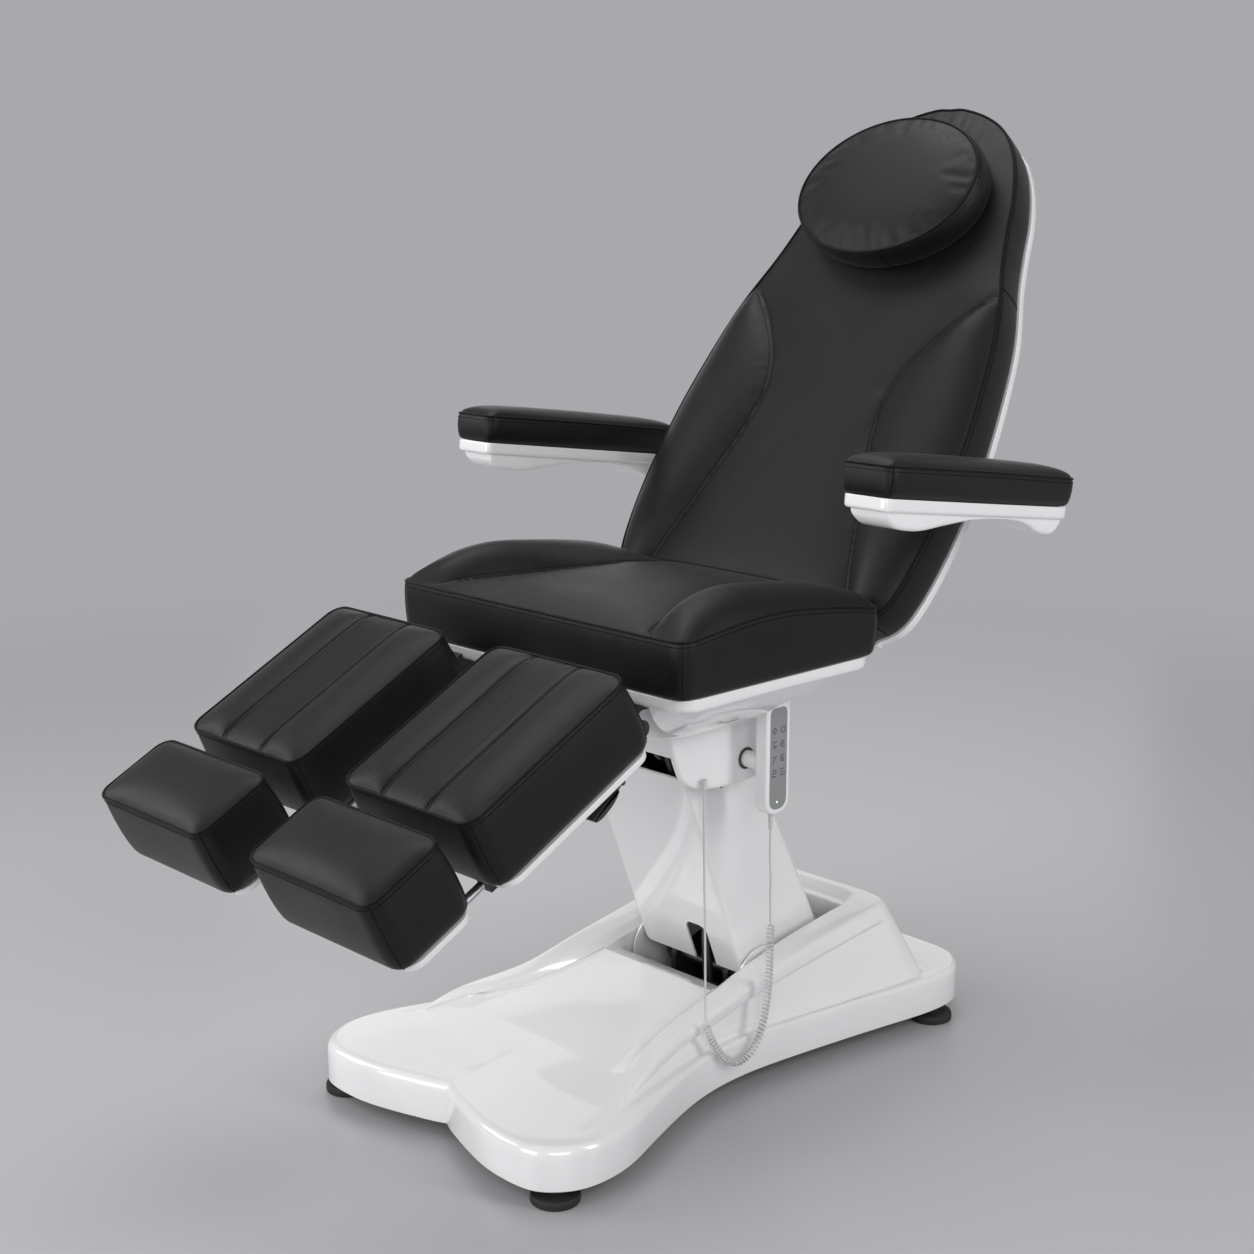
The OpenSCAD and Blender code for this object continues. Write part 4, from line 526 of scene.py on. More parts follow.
def lead_path():
    """From the handset down, through the curls and back up to the socket in the housing."""
    upper = spline([(190, 285, 393), (190, 285, 380), (190, 285, 350), (191, 286, 320), (191, 286, 290),
                    (192, 286, 259)], 4)
    middle = spline([(192, 286, 259), (193, 286, 235), (194, 284, 211), (196, 281, 180), (197, 278, 152),
                     (198, 272, 124), (199, 264, 100), (200, 250, 78), (200, 229, 64), (200, 206, 63),
                     (198, 185, 76), (195, 169, 98), (191, 159, 121), (188, 156, 142)], 12)
    lower = spline([(188, 156, 142), (186, 157, 160), (183, 160, 200), (176, 166, 260), (168, 172, 330),
                    (159, 180, 410), (155, 184, 455), (154.3, 185, 468)], 4)
    curls, turn, curl_radius = 56, 14, 4.5
    n = curls * turn
    s = running(middle)
    at = np.linspace(3, s[-1] - 3, n + 1)
    line = np.stack([np.interp(at, s, middle[:, k]) for k in range(3)], -1)
    way = unit(np.gradient(line, axis=0))
    a = unit(np.cross(way, np.cross((1, 0, 0), way)))
    b = np.cross(way, a)
    # The curls open and close over two turns at each end
    opened = np.clip(np.minimum(np.arange(n + 1), n - np.arange(n + 1)) / (2 * turn), 0, 1)
    opened = opened ** 2 * (3 - 2 * opened)
    angle = 2 * math.pi * np.cumsum(opened) / turn
    curled = line + curl_radius * opened[:, None] * (np.cos(angle)[:, None] * a + np.sin(angle)[:, None] * b)
    return np.vstack([upper, curled, lower[1:]])


lead_line = lead_path()
lead_line = lead_line[np.r_[True, np.linalg.norm(np.diff(lead_line, axis=0), axis=1) > 0.2]]
lead = piece("lead", [(*tube(lead_line, 1.5, 8, spoke=(1, 0, 0)), pale_lead)], "seat",
             ["lead_ends", "curly_lead"], closed=False)
relief_rings = turned(20, (190, 285), [
    (1.6, 392.5), (2.1, 393), (2.3, 396), (2.9, 396.6), (2.9, 398.6), (2.5, 399.2), (3.1, 402), (3.1, 404.2),
    (2.7, 404.8), (3.4, 408), (3.4, 410.4), (3.0, 411), (3.9, 415), (4.1, 418), (4.1, 420)])
relief = piece("lead_relief", [(*loft(relief_rings), pale_lead)], "seat", ["strain_relief"])
lead_metres = in_row(lead_line)
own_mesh(lead)


# ---- the cushions ----

def patch(outline, corners, cells_across, cells_along):
    """A grid that fills a closed outline, with the outline as its edge; corners are near its four corners."""
    m = len(outline)
    c = [int(np.argmin(((outline - spot) ** 2).sum(1))) for spot in np.array(corners, float)]

    def side_points(k, n):
        a, b = c[k], c[(k + 1) % 4]
        return even(outline[np.arange(a, a + (b - a) % m + 1) % m], n + 1)
    low, right = side_points(0, cells_across), side_points(1, cells_along)
    high, left = side_points(2, cells_across)[::-1], side_points(3, cells_along)[::-1]
    u = np.linspace(0, 1, cells_across + 1)[None, :, None]
    v = np.linspace(0, 1, cells_along + 1)[:, None, None]
    grid = ((1 - v) * low[None] + v * high[None] + (1 - u) * left[:, None] + u * right[:, None]
            - (1 - u) * (1 - v) * low[0] - u * (1 - v) * low[-1] - (1 - u) * v * high[0] - u * v * high[-1])
    w, h = cells_across + 1, cells_along + 1
    index = np.arange(w * h).reshape(h, w)
    rim = np.r_[index[0, :-1], index[:-1, -1], index[-1, :0:-1], index[:0:-1, 0]]
    faces = np.stack([index[:-1, :-1], index[:-1, 1:], index[1:, 1:], index[1:, :-1]], -1).reshape(-1, 4).tolist()
    return grid.reshape(-1, 2), rim, faces


def tightened(points, faces, held, cap):
    """How a cover moves when its filling presses on it between its seams: a short cloth simulation, in mm."""
    last_frame = 20
    cover = placed("cover", points / 1000, faces)
    cover.vertex_groups.new(name="held").add([int(i) for i in np.flatnonzero(held)], 1.0, "REPLACE")
    change = cover.modifiers.new("cloth", "CLOTH")
    change.point_cache.frame_start, change.point_cache.frame_end = 1, last_frame
    cloth = change.settings
    cloth.vertex_group_mass = "held"
    cloth.quality, cloth.mass = 6, 0.3
    cloth.tension_stiffness = cloth.compression_stiffness = 15
    cloth.bending_stiffness = 0.4
    cloth.use_pressure, cloth.uniform_pressure_force = True, 4
    cloth.effector_weights.gravity = 0
    change.collision_settings.use_collision = False
    for number in range(1, last_frame + 1):
        scene.frame_set(number)
    ready = cover.evaluated_get(bpy.context.evaluated_depsgraph_get()).data
    after = np.empty(len(points) * 3)
    ready.vertices.foreach_get("co", after)
    moved = after.reshape(-1, 3) * 1000 - points
    mesh = cover.data
    bpy.data.objects.remove(cover)
    bpy.data.meshes.remove(mesh)
    scene.frame_set(1)
    size = np.linalg.norm(moved, axis=1, keepdims=True)
    return moved * cap * np.tanh(size / cap) / np.maximum(size, 1e-6)


def refined(field, w, h, ratio):
    """A grid of values with ratio times as many cells each way, on smooth lines."""
    field = np.asarray(field, float).reshape(h + 1, w + 1, -1)
    k = field.shape[2]
    field = spline(field.reshape(h + 1, -1), ratio).reshape(h * ratio + 1, w + 1, k)
    field = field.transpose(1, 0, 2).reshape(w + 1, -1)
    return spline(field, ratio).reshape(w * ratio + 1, h * ratio + 1, k).transpose(1, 0, 2).reshape(-1, k)


def cushion(name, outline, corners, cells, base, edge, top, side, body, place, nodes, material=black_leather,
            piping=1.9, cap=4.0, held=None, upright=(), row=2.0):
    """A closed cushion: a top panel over a grid, side panels down from its piping, and a flat bottom.

    edge(xy) is the piping's height and top(xy) the top panel's; side lists (share of the height from the piping
    down, distance outwards). place turns its drawing into the chair's millimetres. cap is the most that the cloth
    simulation moves it. held(xy) marks where the cover is sewn down, upright the places of the seams down its
    sides, and row is how far outside the piping its stitches lie."""
    finer = 3
    xy, rim, faces = patch(outline, corners, cells[0] * finer, cells[1] * finer)
    z = top(xy)
    loop = xy[rim]
    rim_z = edge(loop)
    z[rim] = rim_z
    coarse, coarse_rim, coarse_faces = patch(outline, corners, *cells)
    start = np.column_stack([coarse, top(coarse)])
    start[coarse_rim, 2] = edge(coarse[coarse_rim])
    pinned = np.zeros(len(start), bool) if held is None else held(coarse)
    pinned[coarse_rim] = True
    moved = refined(tightened(start, coarse_faces, pinned, cap), cells[0], cells[1], finer)
    moved[rim] = 0
    points, count, n = [np.column_stack([xy, z]) + moved], len(xy), len(rim)
    before = rim
    for share, out in side:
        points.append(at_height(spread(loop, out), rim_z - share * (rim_z - base)))
        here = count + np.arange(n)
        faces += np.stack([before, here, np.roll(here, -1), np.roll(before, -1)], -1).tolist()
        before, count = here, count + n
    faces.append(before[::-1].tolist())
    parts = [(place(np.vstack(points)), faces, material)]
    welt, welt_faces = tube(at_height(spread(loop, 0.7), rim_z + 0.3), piping, 8, closed=True)
    parts.append((place(welt), welt_faces, piping_leather_with_painted_shade))
    for spot in upright:
        i = int(np.argmin(((loop - spot) ** 2).sum(1)))
        line = [(*spread(loop, out)[i], rim_z[i] - share * (rim_z[i] - base)) for share, out in side[:-2]]
        seam, seam_faces = tube(even(line, 24), 0.9, 6)
        parts.append((place(seam), seam_faces, thread))
    made = piece(name, parts, body, nodes, sharp=50)
    below = spread(outline, row)
    stitch(body, ring_closed(at_height(below, edge(below) - 6)), place)


def roll_off(distance, reach):
    """How far a tight cover has risen at this distance from its seam, from 0 to 1."""
    return 1 - np.exp(-np.asarray(distance) / reach)


def crown(xy, box, reach):
    """The same over a panel with straight sides, box being (x0, x1, y0, y1)."""
    x, y = xy[:, 0], xy[:, 1]
    return (roll_off(np.maximum(x - box[0], 0), reach) * roll_off(np.maximum(box[1] - x, 0), reach)
            * roll_off(np.maximum(y - box[2], 0), reach) * roll_off(np.maximum(box[3] - y, 0), reach))


def sewn(distance, *dips):
    """How deep a cover lies at this distance from its seam; each dip is (depth, width)."""
    return sum(depth * np.exp(-(np.asarray(distance) / width) ** 2) for depth, width in dips)


def bolster(share, crest_at, fall):
    """How high a bolster stands across its width: 0 at its seam, 1 at its crest, then down by fall to its edge."""
    return np.where(share < crest_at, 1 - (1 - share / crest_at) ** 2,
                    1 - fall * ((share - crest_at) / (1 - crest_at)) ** 2)


def gathers(xy, seam, depth, reach, pitch):
    """Small soft folds that run away from a seam, where its thread draws the cover in."""
    line = np.asarray(seam, float)
    s = running(line)
    nearest = np.empty(len(xy))
    for k in range(0, len(xy), 4000):
        nearest[k:k + 4000] = s[np.argmin(((xy[k:k + 4000, None, :] - line[None]) ** 2).sum(2), 1)]
    wave = np.sin(nearest / pitch * 6.28 + 1.7 * np.sin(nearest / pitch * 1.9)) * (0.55 + 0.45 * np.sin(
        nearest / pitch * 0.83 + 1.1))
    d = far_from(xy, line)
    return depth * wave * np.exp(-d / reach) * (1 - np.exp(-d / 2.5))


def folded(xy):
    """Plan points with the left half laid over the right."""
    return np.column_stack([np.abs(xy[:, 0]), xy[:, 1]])


def four(x, y0, y1):
    """The four corners of a box about the middle line."""
    return [(-x, y0), (x, y0), (x, y1), (-x, y1)]


def flat_edge(height):
    return lambda xy: np.full(len(xy), float(height))


def curve_through(x, table):
    """Values of a smooth curve through a table of (place, value)."""
    line = spline(np.array(table, float), 10)
    return np.interp(x, line[:, 0], line[:, 1])


def soft_step(t):
    t = np.clip(t, 0, 1)
    return t * t * (3 - 2 * t)


stitches = {}


def stitch(body, line, place):
    stitches.setdefault(body, []).append(place(np.asarray(line, float)))


def seam_rows(body, seam, gap, top, place):
    """Rows of stitches on both sides of a seam, and of its mirror image across the cushion."""
    way = unit(np.gradient(np.asarray(seam, float), axis=0))
    square = np.stack([way[:, 1], -way[:, 0]], -1)
    for side in (-1, 1):
        for shift in (-gap, gap):
            plan = (seam + square * shift) * (side, 1)
            stitch(body, at_height(plan, top(plan) + 0.1), place)


cushion_side = [(0.02, 0.5), (0.08, 1.4), (0.2, 2.2), (0.4, 2.0), (0.6, 1.0), (0.78, -0.6), (0.9, -2.4),
                (0.96, -4.2), (0.99, -6.5), (1.0, -9)]

# The seat: a middle panel between two thigh bolsters that are fullest near the front
seat_half, seat_long, seat_welt = 290, 400, 728
seat_outline = round_rect(-seat_half, seat_half, 0, seat_long, 22, 8, 24)
side_rises = [(0, 0), (20, 1), (50, 4), (80, 7.7), (125, 12), (170, 14), (215, 12.5), (260, 8), (310, 2),
              (350, -4), (385, -10), (400, -12)]
crest_rises = [(0, 13), (20, 22), (45, 34), (80, 45), (120, 50), (160, 49), (240, 40), (310, 30), (350, 21),
               (400, 8)]
leaf_seam = [(0, 232), (10, 222), (34, 206), (80, 192), (140, 178), (200, 166), (260, 152), (320, 141), (366, 134),
             (400, 133)]


def seat_edge(xy):
    return seat_welt + curve_through(xy[:, 1], side_rises) * np.clip(np.abs(xy[:, 0]) / seat_half, 0, 1) ** 3


seam_y = np.linspace(0, seat_long, 70)
seat_seam = np.column_stack([curve_through(seam_y, leaf_seam), seam_y])


def seat_top(xy):
    plan = folded(xy)
    x, y = plan.T
    seam = np.interp(y, seat_seam[:, 1], seat_seam[:, 0])
    edge = seat_edge(xy)
    inside = far_from(xy, ring_closed(seat_outline))
    level = seat_welt + 13 - 4 * np.clip(x / seam, 0, 1) ** 3 - 5 * soft_step((y - 300) / 100)
    t = np.clip((x - seam) / np.maximum(seat_half - seam, 1), 0, 1)
    w = bolster(t, 0.42 + 0.2 * y / seat_long, 0.3)
    body = level + (seat_welt + curve_through(y, crest_rises) - level) * w * (x > seam)
    reach = 24 - 9 * soft_step(t * 3)
    dips = sewn(far_from(plan, seat_seam), (2.4, 3.5), (1.8, 13))
    return (edge + (body - edge) * roll_off(inside, reach) - dips * roll_off(inside, 5)
            + gathers(plan, seat_seam, 0.55, 26, 21) + gathers(xy, ring_closed(seat_outline), 0.25, 12, 26))


cushion("seat_cushion_cover", seat_outline, four(285, 5, 395), (48, 33), 650, seat_edge, seat_top, cushion_side,
        "seat", lambda p: p, ["seat_cushion"], held=lambda q: far_from(folded(q), seat_seam) < 7,
        upright=four(284, 6, 394))
seam_rows("seat", even(seat_seam[3:-2], 160), 4, seat_top, lambda p: p)

# The back: a waisted panel between two side bolsters
back_shares = [(0, 0.7), (0.01, 0.8), (0.035, 0.9), (0.08, 0.955), (0.16, 0.99), (0.25, 1), (0.36, 0.985),
               (0.46, 0.945), (0.54, 0.9), (0.6, 0.85), (0.68, 0.76), (0.75, 0.7), (0.81, 0.655), (0.875, 0.58),
               (0.925, 0.49), (0.96, 0.385), (0.985, 0.245), (1, 0.09)]
back_wide, back_long, back_low = 293, 888, -520
back_half = np.array([(0, back_low)] + [(back_wide * w, back_long * s + back_low) for s, w in back_shares]
                     + [(0, back_low + back_long)], float)
back_loop = spline(np.vstack([back_half, (back_half * (-1, 1))[-2:0:-1]]), 6, closed=True)
back_loop = even(ring_closed(back_loop), 361)[:-1]
back_welt = 66
inner_seam = spline([(210, -514), (199, -470), (186, -430), (168, -370), (151, -310), (133, -250), (122, -195),
                     (121, -150), (135, -100), (162, -55), (196, -12), (232, 24), (252, 42)], 8)


def back_top(xy):
    plan = folded(xy)
    x, y = plan.T
    inside = far_from(xy, ring_closed(back_loop))
    seam = np.interp(y, inner_seam[:, 1], inner_seam[:, 0])
    half = np.interp(y, back_half[1:-1, 1], back_half[1:-1, 0])
    level = back_welt + 10 - 1.5 * (x / back_wide) ** 2
    t = np.clip((x - seam) / np.maximum(half - seam, 4), 0, 1)
    w = bolster(t, 0.5, 0.25)
    hump = 15 * soft_step((y + 530) / 150) ** 0.7 * soft_step((66 - y) / 110) * (y < 66) * (x > seam)
    body = level + hump * w
    dips = sewn(far_from(plan, inner_seam), (2.2, 3.5), (2.4, 15))
    return (back_welt + (body - back_welt) * roll_off(inside, 22 - 8 * soft_step(t * 4))
            + (gathers(plan, inner_seam, 0.5, 24, 24) - dips) * roll_off(inside, 5))


on_cushion = partial(against_back, depth=back_welt)
cushion("back_cushion_cover", back_loop, [(-262, -500), (262, -500), (150, 320), (-150, 320)], (38, 58), 0,
        flat_edge(back_welt), back_top, cushion_side, "back", on_cushion, ["back_cushion"],
        held=lambda q: far_from(folded(q), inner_seam) < 8,
        upright=[(262, 60), (-262, 60), (250, -505), (-250, -505)])
seam_rows("back", even(inner_seam[3:-10], 200), 4, back_top, on_cushion)

# The head pillow
pillow_long, pillow_wide, pillow_welt = 166, 122, 58
pillow_loop = circle(240) * (pillow_long, pillow_wide)


def pillow_top(xy):
    inside = pillow_wide * (1 - np.minimum(np.hypot(xy[:, 0] / pillow_long, xy[:, 1] / pillow_wide), 1))
    swell = 3 * np.sin(np.clip(inside / pillow_wide, 0, 1) * math.pi / 2)
    return pillow_welt + 11 * roll_off(inside, 12) + swell + gathers(xy, ring_closed(pillow_loop), 0.4, 14, 31)


def pillow_place(p):
    return against_back(np.asarray(p) + (0, 182, 0), -10.3)


pillow_side = [(0.03, 1.4), (0.1, 3.4), (0.25, 5.4), (0.45, 5.2), (0.65, 3), (0.82, -1), (0.93, -6), (0.98, -11),
               (1.0, -18)]
cushion("head_pillow_cover", pillow_loop, four(115, -84, 84), (26, 22), 0, flat_edge(pillow_welt), pillow_top,
        pillow_side, "pillow", pillow_place, ["head_pillow"], upright=[(40, -116)], row=3.6)

# The armrest pads
pad_long = 424
pad_half = [(41, -387), (43.5, -300), (43, -120), (40, 40)]
pad_loop = rounded(pad_half + [(-x, y) for x, y in pad_half[::-1]], [15, 80, 80, 20, 20, 80, 80, 15], 8)
pad_loop = even(ring_closed(np.roll(pad_loop, -4, 0)), 241)[:-1]


def pad_edge(xy):
    return 64.5 + 1.5 * np.sin(np.clip((xy[:, 1] + 385) / pad_long, 0, 1) * math.pi)


def pad_top(xy):
    inside = far_from(xy, ring_closed(pad_loop))
    dome = np.sqrt(np.clip(1 - np.abs(xy[:, 0] / 44.5) ** 2.6, 0, 1))
    ends = roll_off(np.maximum(xy[:, 1] + 389, 0), 11) * roll_off(np.maximum(42 - xy[:, 1], 0), 14)
    crown_rise = 15.5 * dome * ends * roll_off(inside, 2.5)
    return pad_edge(xy) + crown_rise + gathers(xy, ring_closed(pad_loop), 0.25, 9, 23)


pad_side = [(0.03, 0.8), (0.12, 1.6), (0.3, 2.0), (0.5, 1.6), (0.7, 0.4), (0.84, -1.4), (0.93, -3.6), (0.98, -7),
            (1.0, -10)]
for side, name in SIDES:
    cushion("armrest_cover_" + name, pad_loop, four(36, -384, 37), (10, 44), 24.4, pad_edge, pad_top, pad_side,
            "armrest_" + name, partial(on_armrest, side=side), ["armrest_pad_" + name], piping=1.6, cap=2.0,
            upright=[(38, -380), (-38, -380)])

# The calf and foot cushions
calf_outline = round_rect(-124, 124, -321, -36, 22, 8, 16)
foot_outline = round_rect(-121, 121, -479, -359, 21, 8, 12)
calf_welt, foot_welt, channel_x = 125, 135, 43


def calf_top(xy):
    inside = far_from(xy, ring_closed(calf_outline))
    d = np.abs(np.abs(xy[:, 0]) - channel_x)
    fade = roll_off(inside, 5)
    body = np.where(np.abs(xy[:, 0]) < channel_x, 8.5, 8.5 + 5.5 * np.sin(math.pi * np.clip(d / 80, 0, 1) ** 0.75))
    lengthwise = 0.3 * np.sin(xy[:, 0] / 3.1 + 2 * np.sin(xy[:, 1] / 55)) * np.sin(xy[:, 1] / 37 + xy[:, 0] / 9)
    return (calf_welt + body * crown(xy, (-126, 126, -323, -34), 15) * roll_off(inside, 3)
            - sewn(d, (2.2, 2.6), (1.8, 9)) * fade + lengthwise * (np.abs(xy[:, 0]) < 40) * fade
            + gathers(xy, ring_closed(calf_outline), 0.35, 12, 22))


def foot_top(xy):
    inside = far_from(xy, ring_closed(foot_outline))
    dome = (1 - (xy[:, 0] / 121) ** 4) * (1 - ((xy[:, 1] + 419) / 60) ** 4)
    return (foot_welt + 9 * crown(xy, (-123, 123, -481, -357), 13) * roll_off(inside, 3) + 5 * np.clip(dome, 0, 1)
            + gathers(xy, ring_closed(foot_outline), 0.35, 12, 24))


leg_side = [(0.02, 0.6), (0.07, 1.7), (0.16, 3), (0.35, 4.6), (0.55, 5.2), (0.72, 4.6), (0.85, 2.8), (0.92, 0.4),
            (0.965, -3.4), (0.99, -8), (1.0, -13)]
channel = np.column_stack([np.full(90, channel_x), np.linspace(-316, -40, 90)])
for side, name in SIDES:
    leg_place = partial(on_leg, side=side)
    cushion("calf_cover_" + name, calf_outline, four(119, -316, -41), (28, 32), 19, flat_edge(calf_welt), calf_top,
            leg_side, "leg_rest_" + name, leg_place, ["calf_cushion_" + name], calf_leather, cap=3.0,
            held=lambda q: np.abs(np.abs(q[:, 0]) - channel_x) < 5, upright=four(119, -316, -41), row=2.2)
    seam_rows("leg_rest_" + name, channel, 3.4, calf_top, leg_place)
    cushion("foot_cover_" + name, foot_outline, four(116, -474, -364), (27, 14), 28, flat_edge(foot_welt),
            foot_top, leg_side, "foot_rest_" + name, leg_place, ["foot_cushion_" + name], cap=3.0,
            upright=four(116, -474, -364), row=2.2)


# ---- the stitches ----

def stitch_tree():
    """A row of stitches along lines: pitch, stitch length and thread thickness in metres."""
    tree = bpy.data.node_groups.new("row_of_stitches", "GeometryNodeTree")
    for name, kind in (("Geometry", "Geometry"), ("Pitch", "Float"), ("Stitch", "Float"), ("Thread", "Float"),
                       ("Material", "Material")):
        tree.interface.new_socket(name, in_out="INPUT", socket_type="NodeSocket" + kind)
    tree.interface.new_socket("Geometry", in_out="OUTPUT", socket_type="NodeSocketGeometry")
    start = node(tree, "NodeGroupInput").outputs
    curve = node(tree, "GeometryNodeMeshToCurve", {"Mesh": start["Geometry"]}).outputs["Curve"]
    spots = node(tree, "GeometryNodeResampleCurve", {"Curve": curve, "Length": start["Pitch"]}, mode="LENGTH")
    along = node(tree, "GeometryNodeInputTangent").outputs["Tangent"]
    facing = node(tree, "FunctionNodeAlignRotationToVector", {"Vector": along}, axis="Z").outputs["Rotation"]
    bead = node(tree, "GeometryNodeMeshUVSphere", {"Segments": 6, "Rings": 4, "Radius": 0.5}).outputs["Mesh"]
    size = node(tree, "ShaderNodeCombineXYZ", {"X": start["Thread"], "Y": start["Thread"], "Z": start["Stitch"]})
    row = node(tree, "GeometryNodeInstanceOnPoints", {"Points": spots.outputs["Curve"], "Instance": bead,
                                                      "Rotation": facing, "Scale": size.outputs["Vector"]})
    real = node(tree, "GeometryNodeRealizeInstances", {"Geometry": row.outputs["Instances"]}).outputs["Geometry"]
    paint = node(tree, "GeometryNodeSetMaterial", {"Geometry": real, "Material": start["Material"]})
    node(tree, "NodeGroupOutput", {"Geometry": paint.outputs["Geometry"]})
    return tree


def grown(name, tree, lines, values):
    """The plain mesh that a tree makes from lines of points."""
    points, edges = [], []
    for line in lines:
        edges += [(len(points) + i, len(points) + i + 1) for i in range(len(line) - 1)]
        points += line.tolist()
    made = placed(name, in_row(points), [], edges)
    change = made.modifiers.new("tree", "NODES")
    change.node_group = tree
    for item in tree.interface.items_tree:
        if item.item_type == "SOCKET" and item.in_out == "INPUT" and item.name in values:
            change[item.identifier] = values[item.name]
    ready = evaluated(made)
    made.modifiers.remove(change)
    made.data = ready
    made.data.shade_smooth()
    return made


row_of_stitches = stitch_tree()
for body, lines in stitches.items():
    settle(grown("stitches_" + body, row_of_stitches, lines,
                 {"Pitch": 0.0048, "Stitch": 0.0036, "Thread": 0.0014, "Material": thread}), body)


# ---- the base ----

# Lines over the base from the middle of its front to the middle of its rear, on the right: shares of its half
# width, of its length and of the rise from the band's top to the ridge
base_half, base_long, base_front = 270, 952, -210
band_low, band_top, ridge_rise = 25, 85, 116
well_half, well_front, well_long, well_floor = 118, 244, 302, 66
line_steps = 7
rim_line = [(0, 0.047), (0.11, 0.034), (0.426, 0.006), (0.64, 0), (0.815, 0.005), (0.915, 0.026), (0.984, 0.058),
            (1.002, 0.102), (0.972, 0.158), (0.874, 0.231), (0.722, 0.357), (0.678, 0.458), (0.696, 0.542),
            (0.741, 0.64), (0.804, 0.756), (0.856, 0.84), (0.874, 0.895), (0.852, 0.945), (0.741, 0.985),
            (0.556, 1), (0, 1)]
foot_line = [(0, 0.095, 0.01), (0.1, 0.086, 0.01), (0.39, 0.063, 0.01), (0.61, 0.055, 0.01), (0.76, 0.058, 0.01),
             (0.83, 0.071, 0.01), (0.87, 0.095, 0.01), (0.88, 0.126, 0.01), (0.86, 0.158, 0.01), (0.793, 0.22, 0),
             (0.659, 0.352, -0.02), (0.615, 0.458, -0.04), (0.633, 0.542, -0.06), (0.674, 0.64, -0.08),
             (0.733, 0.756, -0.08), (0.77, 0.835, -0.08), (0.763, 0.877, -0.08), (0.726, 0.898, -0.08),
             (0.611, 0.909, -0.08), (0.463, 0.91, -0.08), (0, 0.91, -0.08)]
outer_ridge = [(0, 0.158, 0.06), (0.096, 0.155, 0.06), (0.35, 0.147, 0.05), (0.555, 0.145, 0.04),
               (0.674, 0.149, 0.04), (0.733, 0.16, 0.04), (0.763, 0.17, 0.04), (0.778, 0.181, 0.04),
               (0.781, 0.194, 0.05), (0.763, 0.242, 0.2), (0.663, 0.352, 0.353), (0.648, 0.463, 0.543),
               (0.633, 0.536, 0.664), (0.633, 0.63, 0.793), (0.63, 0.746, 0.914), (0.626, 0.809, 0.974),
               (0.611, 0.83, 0.99), (0.574, 0.842, 1), (0.481, 0.851, 1), (0.37, 0.853, 1), (0, 0.853, 1)]
inner_ridge = [(0, 0.231, 0.13), (0.089, 0.231, 0.13), (0.296, 0.229, 0.13), (0.463, 0.227, 0.13),
               (0.548, 0.227, 0.13), (0.593, 0.229, 0.14), (0.622, 0.235, 0.16), (0.637, 0.244, 0.19),
               (0.611, 0.257, 0.224), (0.559, 0.308, 0.284), (0.515, 0.368, 0.37), (0.481, 0.462, 0.526),
               (0.463, 0.536, 0.655), (0.452, 0.63, 0.8), (0.446, 0.746, 0.93), (0.443, 0.804, 0.98),
               (0.43, 0.819, 0.99), (0.4, 0.828, 0.99), (0.352, 0.832, 0.99), (0.259, 0.834, 0.99),
               (0, 0.834, 0.99)]
ramp_line = [(0, 0.347, 0.284), (0.081, 0.347, 0.284), (0.241, 0.347, 0.28), (0.363, 0.345, 0.27),
             (0.426, 0.34, 0.25), (0.463, 0.334, 0.24), (0.496, 0.326, 0.22), (0.526, 0.315, 0.2),
             (0.541, 0.31, 0.18), (0.489, 0.378, 0.276), (0.459, 0.431, 0.362), (0.445, 0.476, 0.431)]
well_rises = 9 * [0.44] + [0.45, 0.47, 0.5, 0.58, 0.74, 0.87] + 6 * [0.91]
well_line = [(0, 0), (0.17, 0), (0.42, 0), (0.63, 0), (0.78, 0), (0.85, 0), (0.9, 0), (0.94, 0), (0.96, 0.003),
             (0.97, 0.02), (0.98, 0.06), (0.985, 0.12), (0.985, 0.28), (0.985, 0.5), (0.985, 0.8), (0.975, 0.96),
             (0.95, 0.985), (0.86, 0.995), (0.7, 1), (0.5, 1), (0, 1)]


def deck(line):
    share = np.array([(*p, 0)[:3] for p in line], float)
    return share * (base_half, base_long, ridge_rise) + (0, base_front, band_top)


def well(dy, dz):
    """The well's edge, with its front moved by dy and the whole raised by dz."""
    return np.array([(x * well_half, well_front + dy * (1 - y) + y * well_long, band_top + z * ridge_rise + dz)
                     for (x, y), z in zip(well_line, well_rises)], float)


def whole(half):
    """A half loop from the middle of the front round the right side, with its mirror image."""
    half = spline(half, line_steps)
    return np.vstack([half, half[-2:0:-1] * (-1, 1, 1)])


def inset(loop, distance, dz=0.0):
    """The loop moved towards its inner side, and raised by dz."""
    return at_height(loop[:, :2] - outward(loop[:, :2]) * distance, loop[:, 2] + dz)


def relaxed(loop, passes=8):
    """The loop with its small corners worn round, except by the notch in the middle of its front."""
    p = loop.copy()
    free = (np.abs(p[:, :1]) > 40) | (p[:, 1:2] > 300)
    for _ in range(passes):
        p = np.where(free, (np.roll(p, 1, 0) + 2 * p + np.roll(p, -1, 0)) / 4, p)
    return p


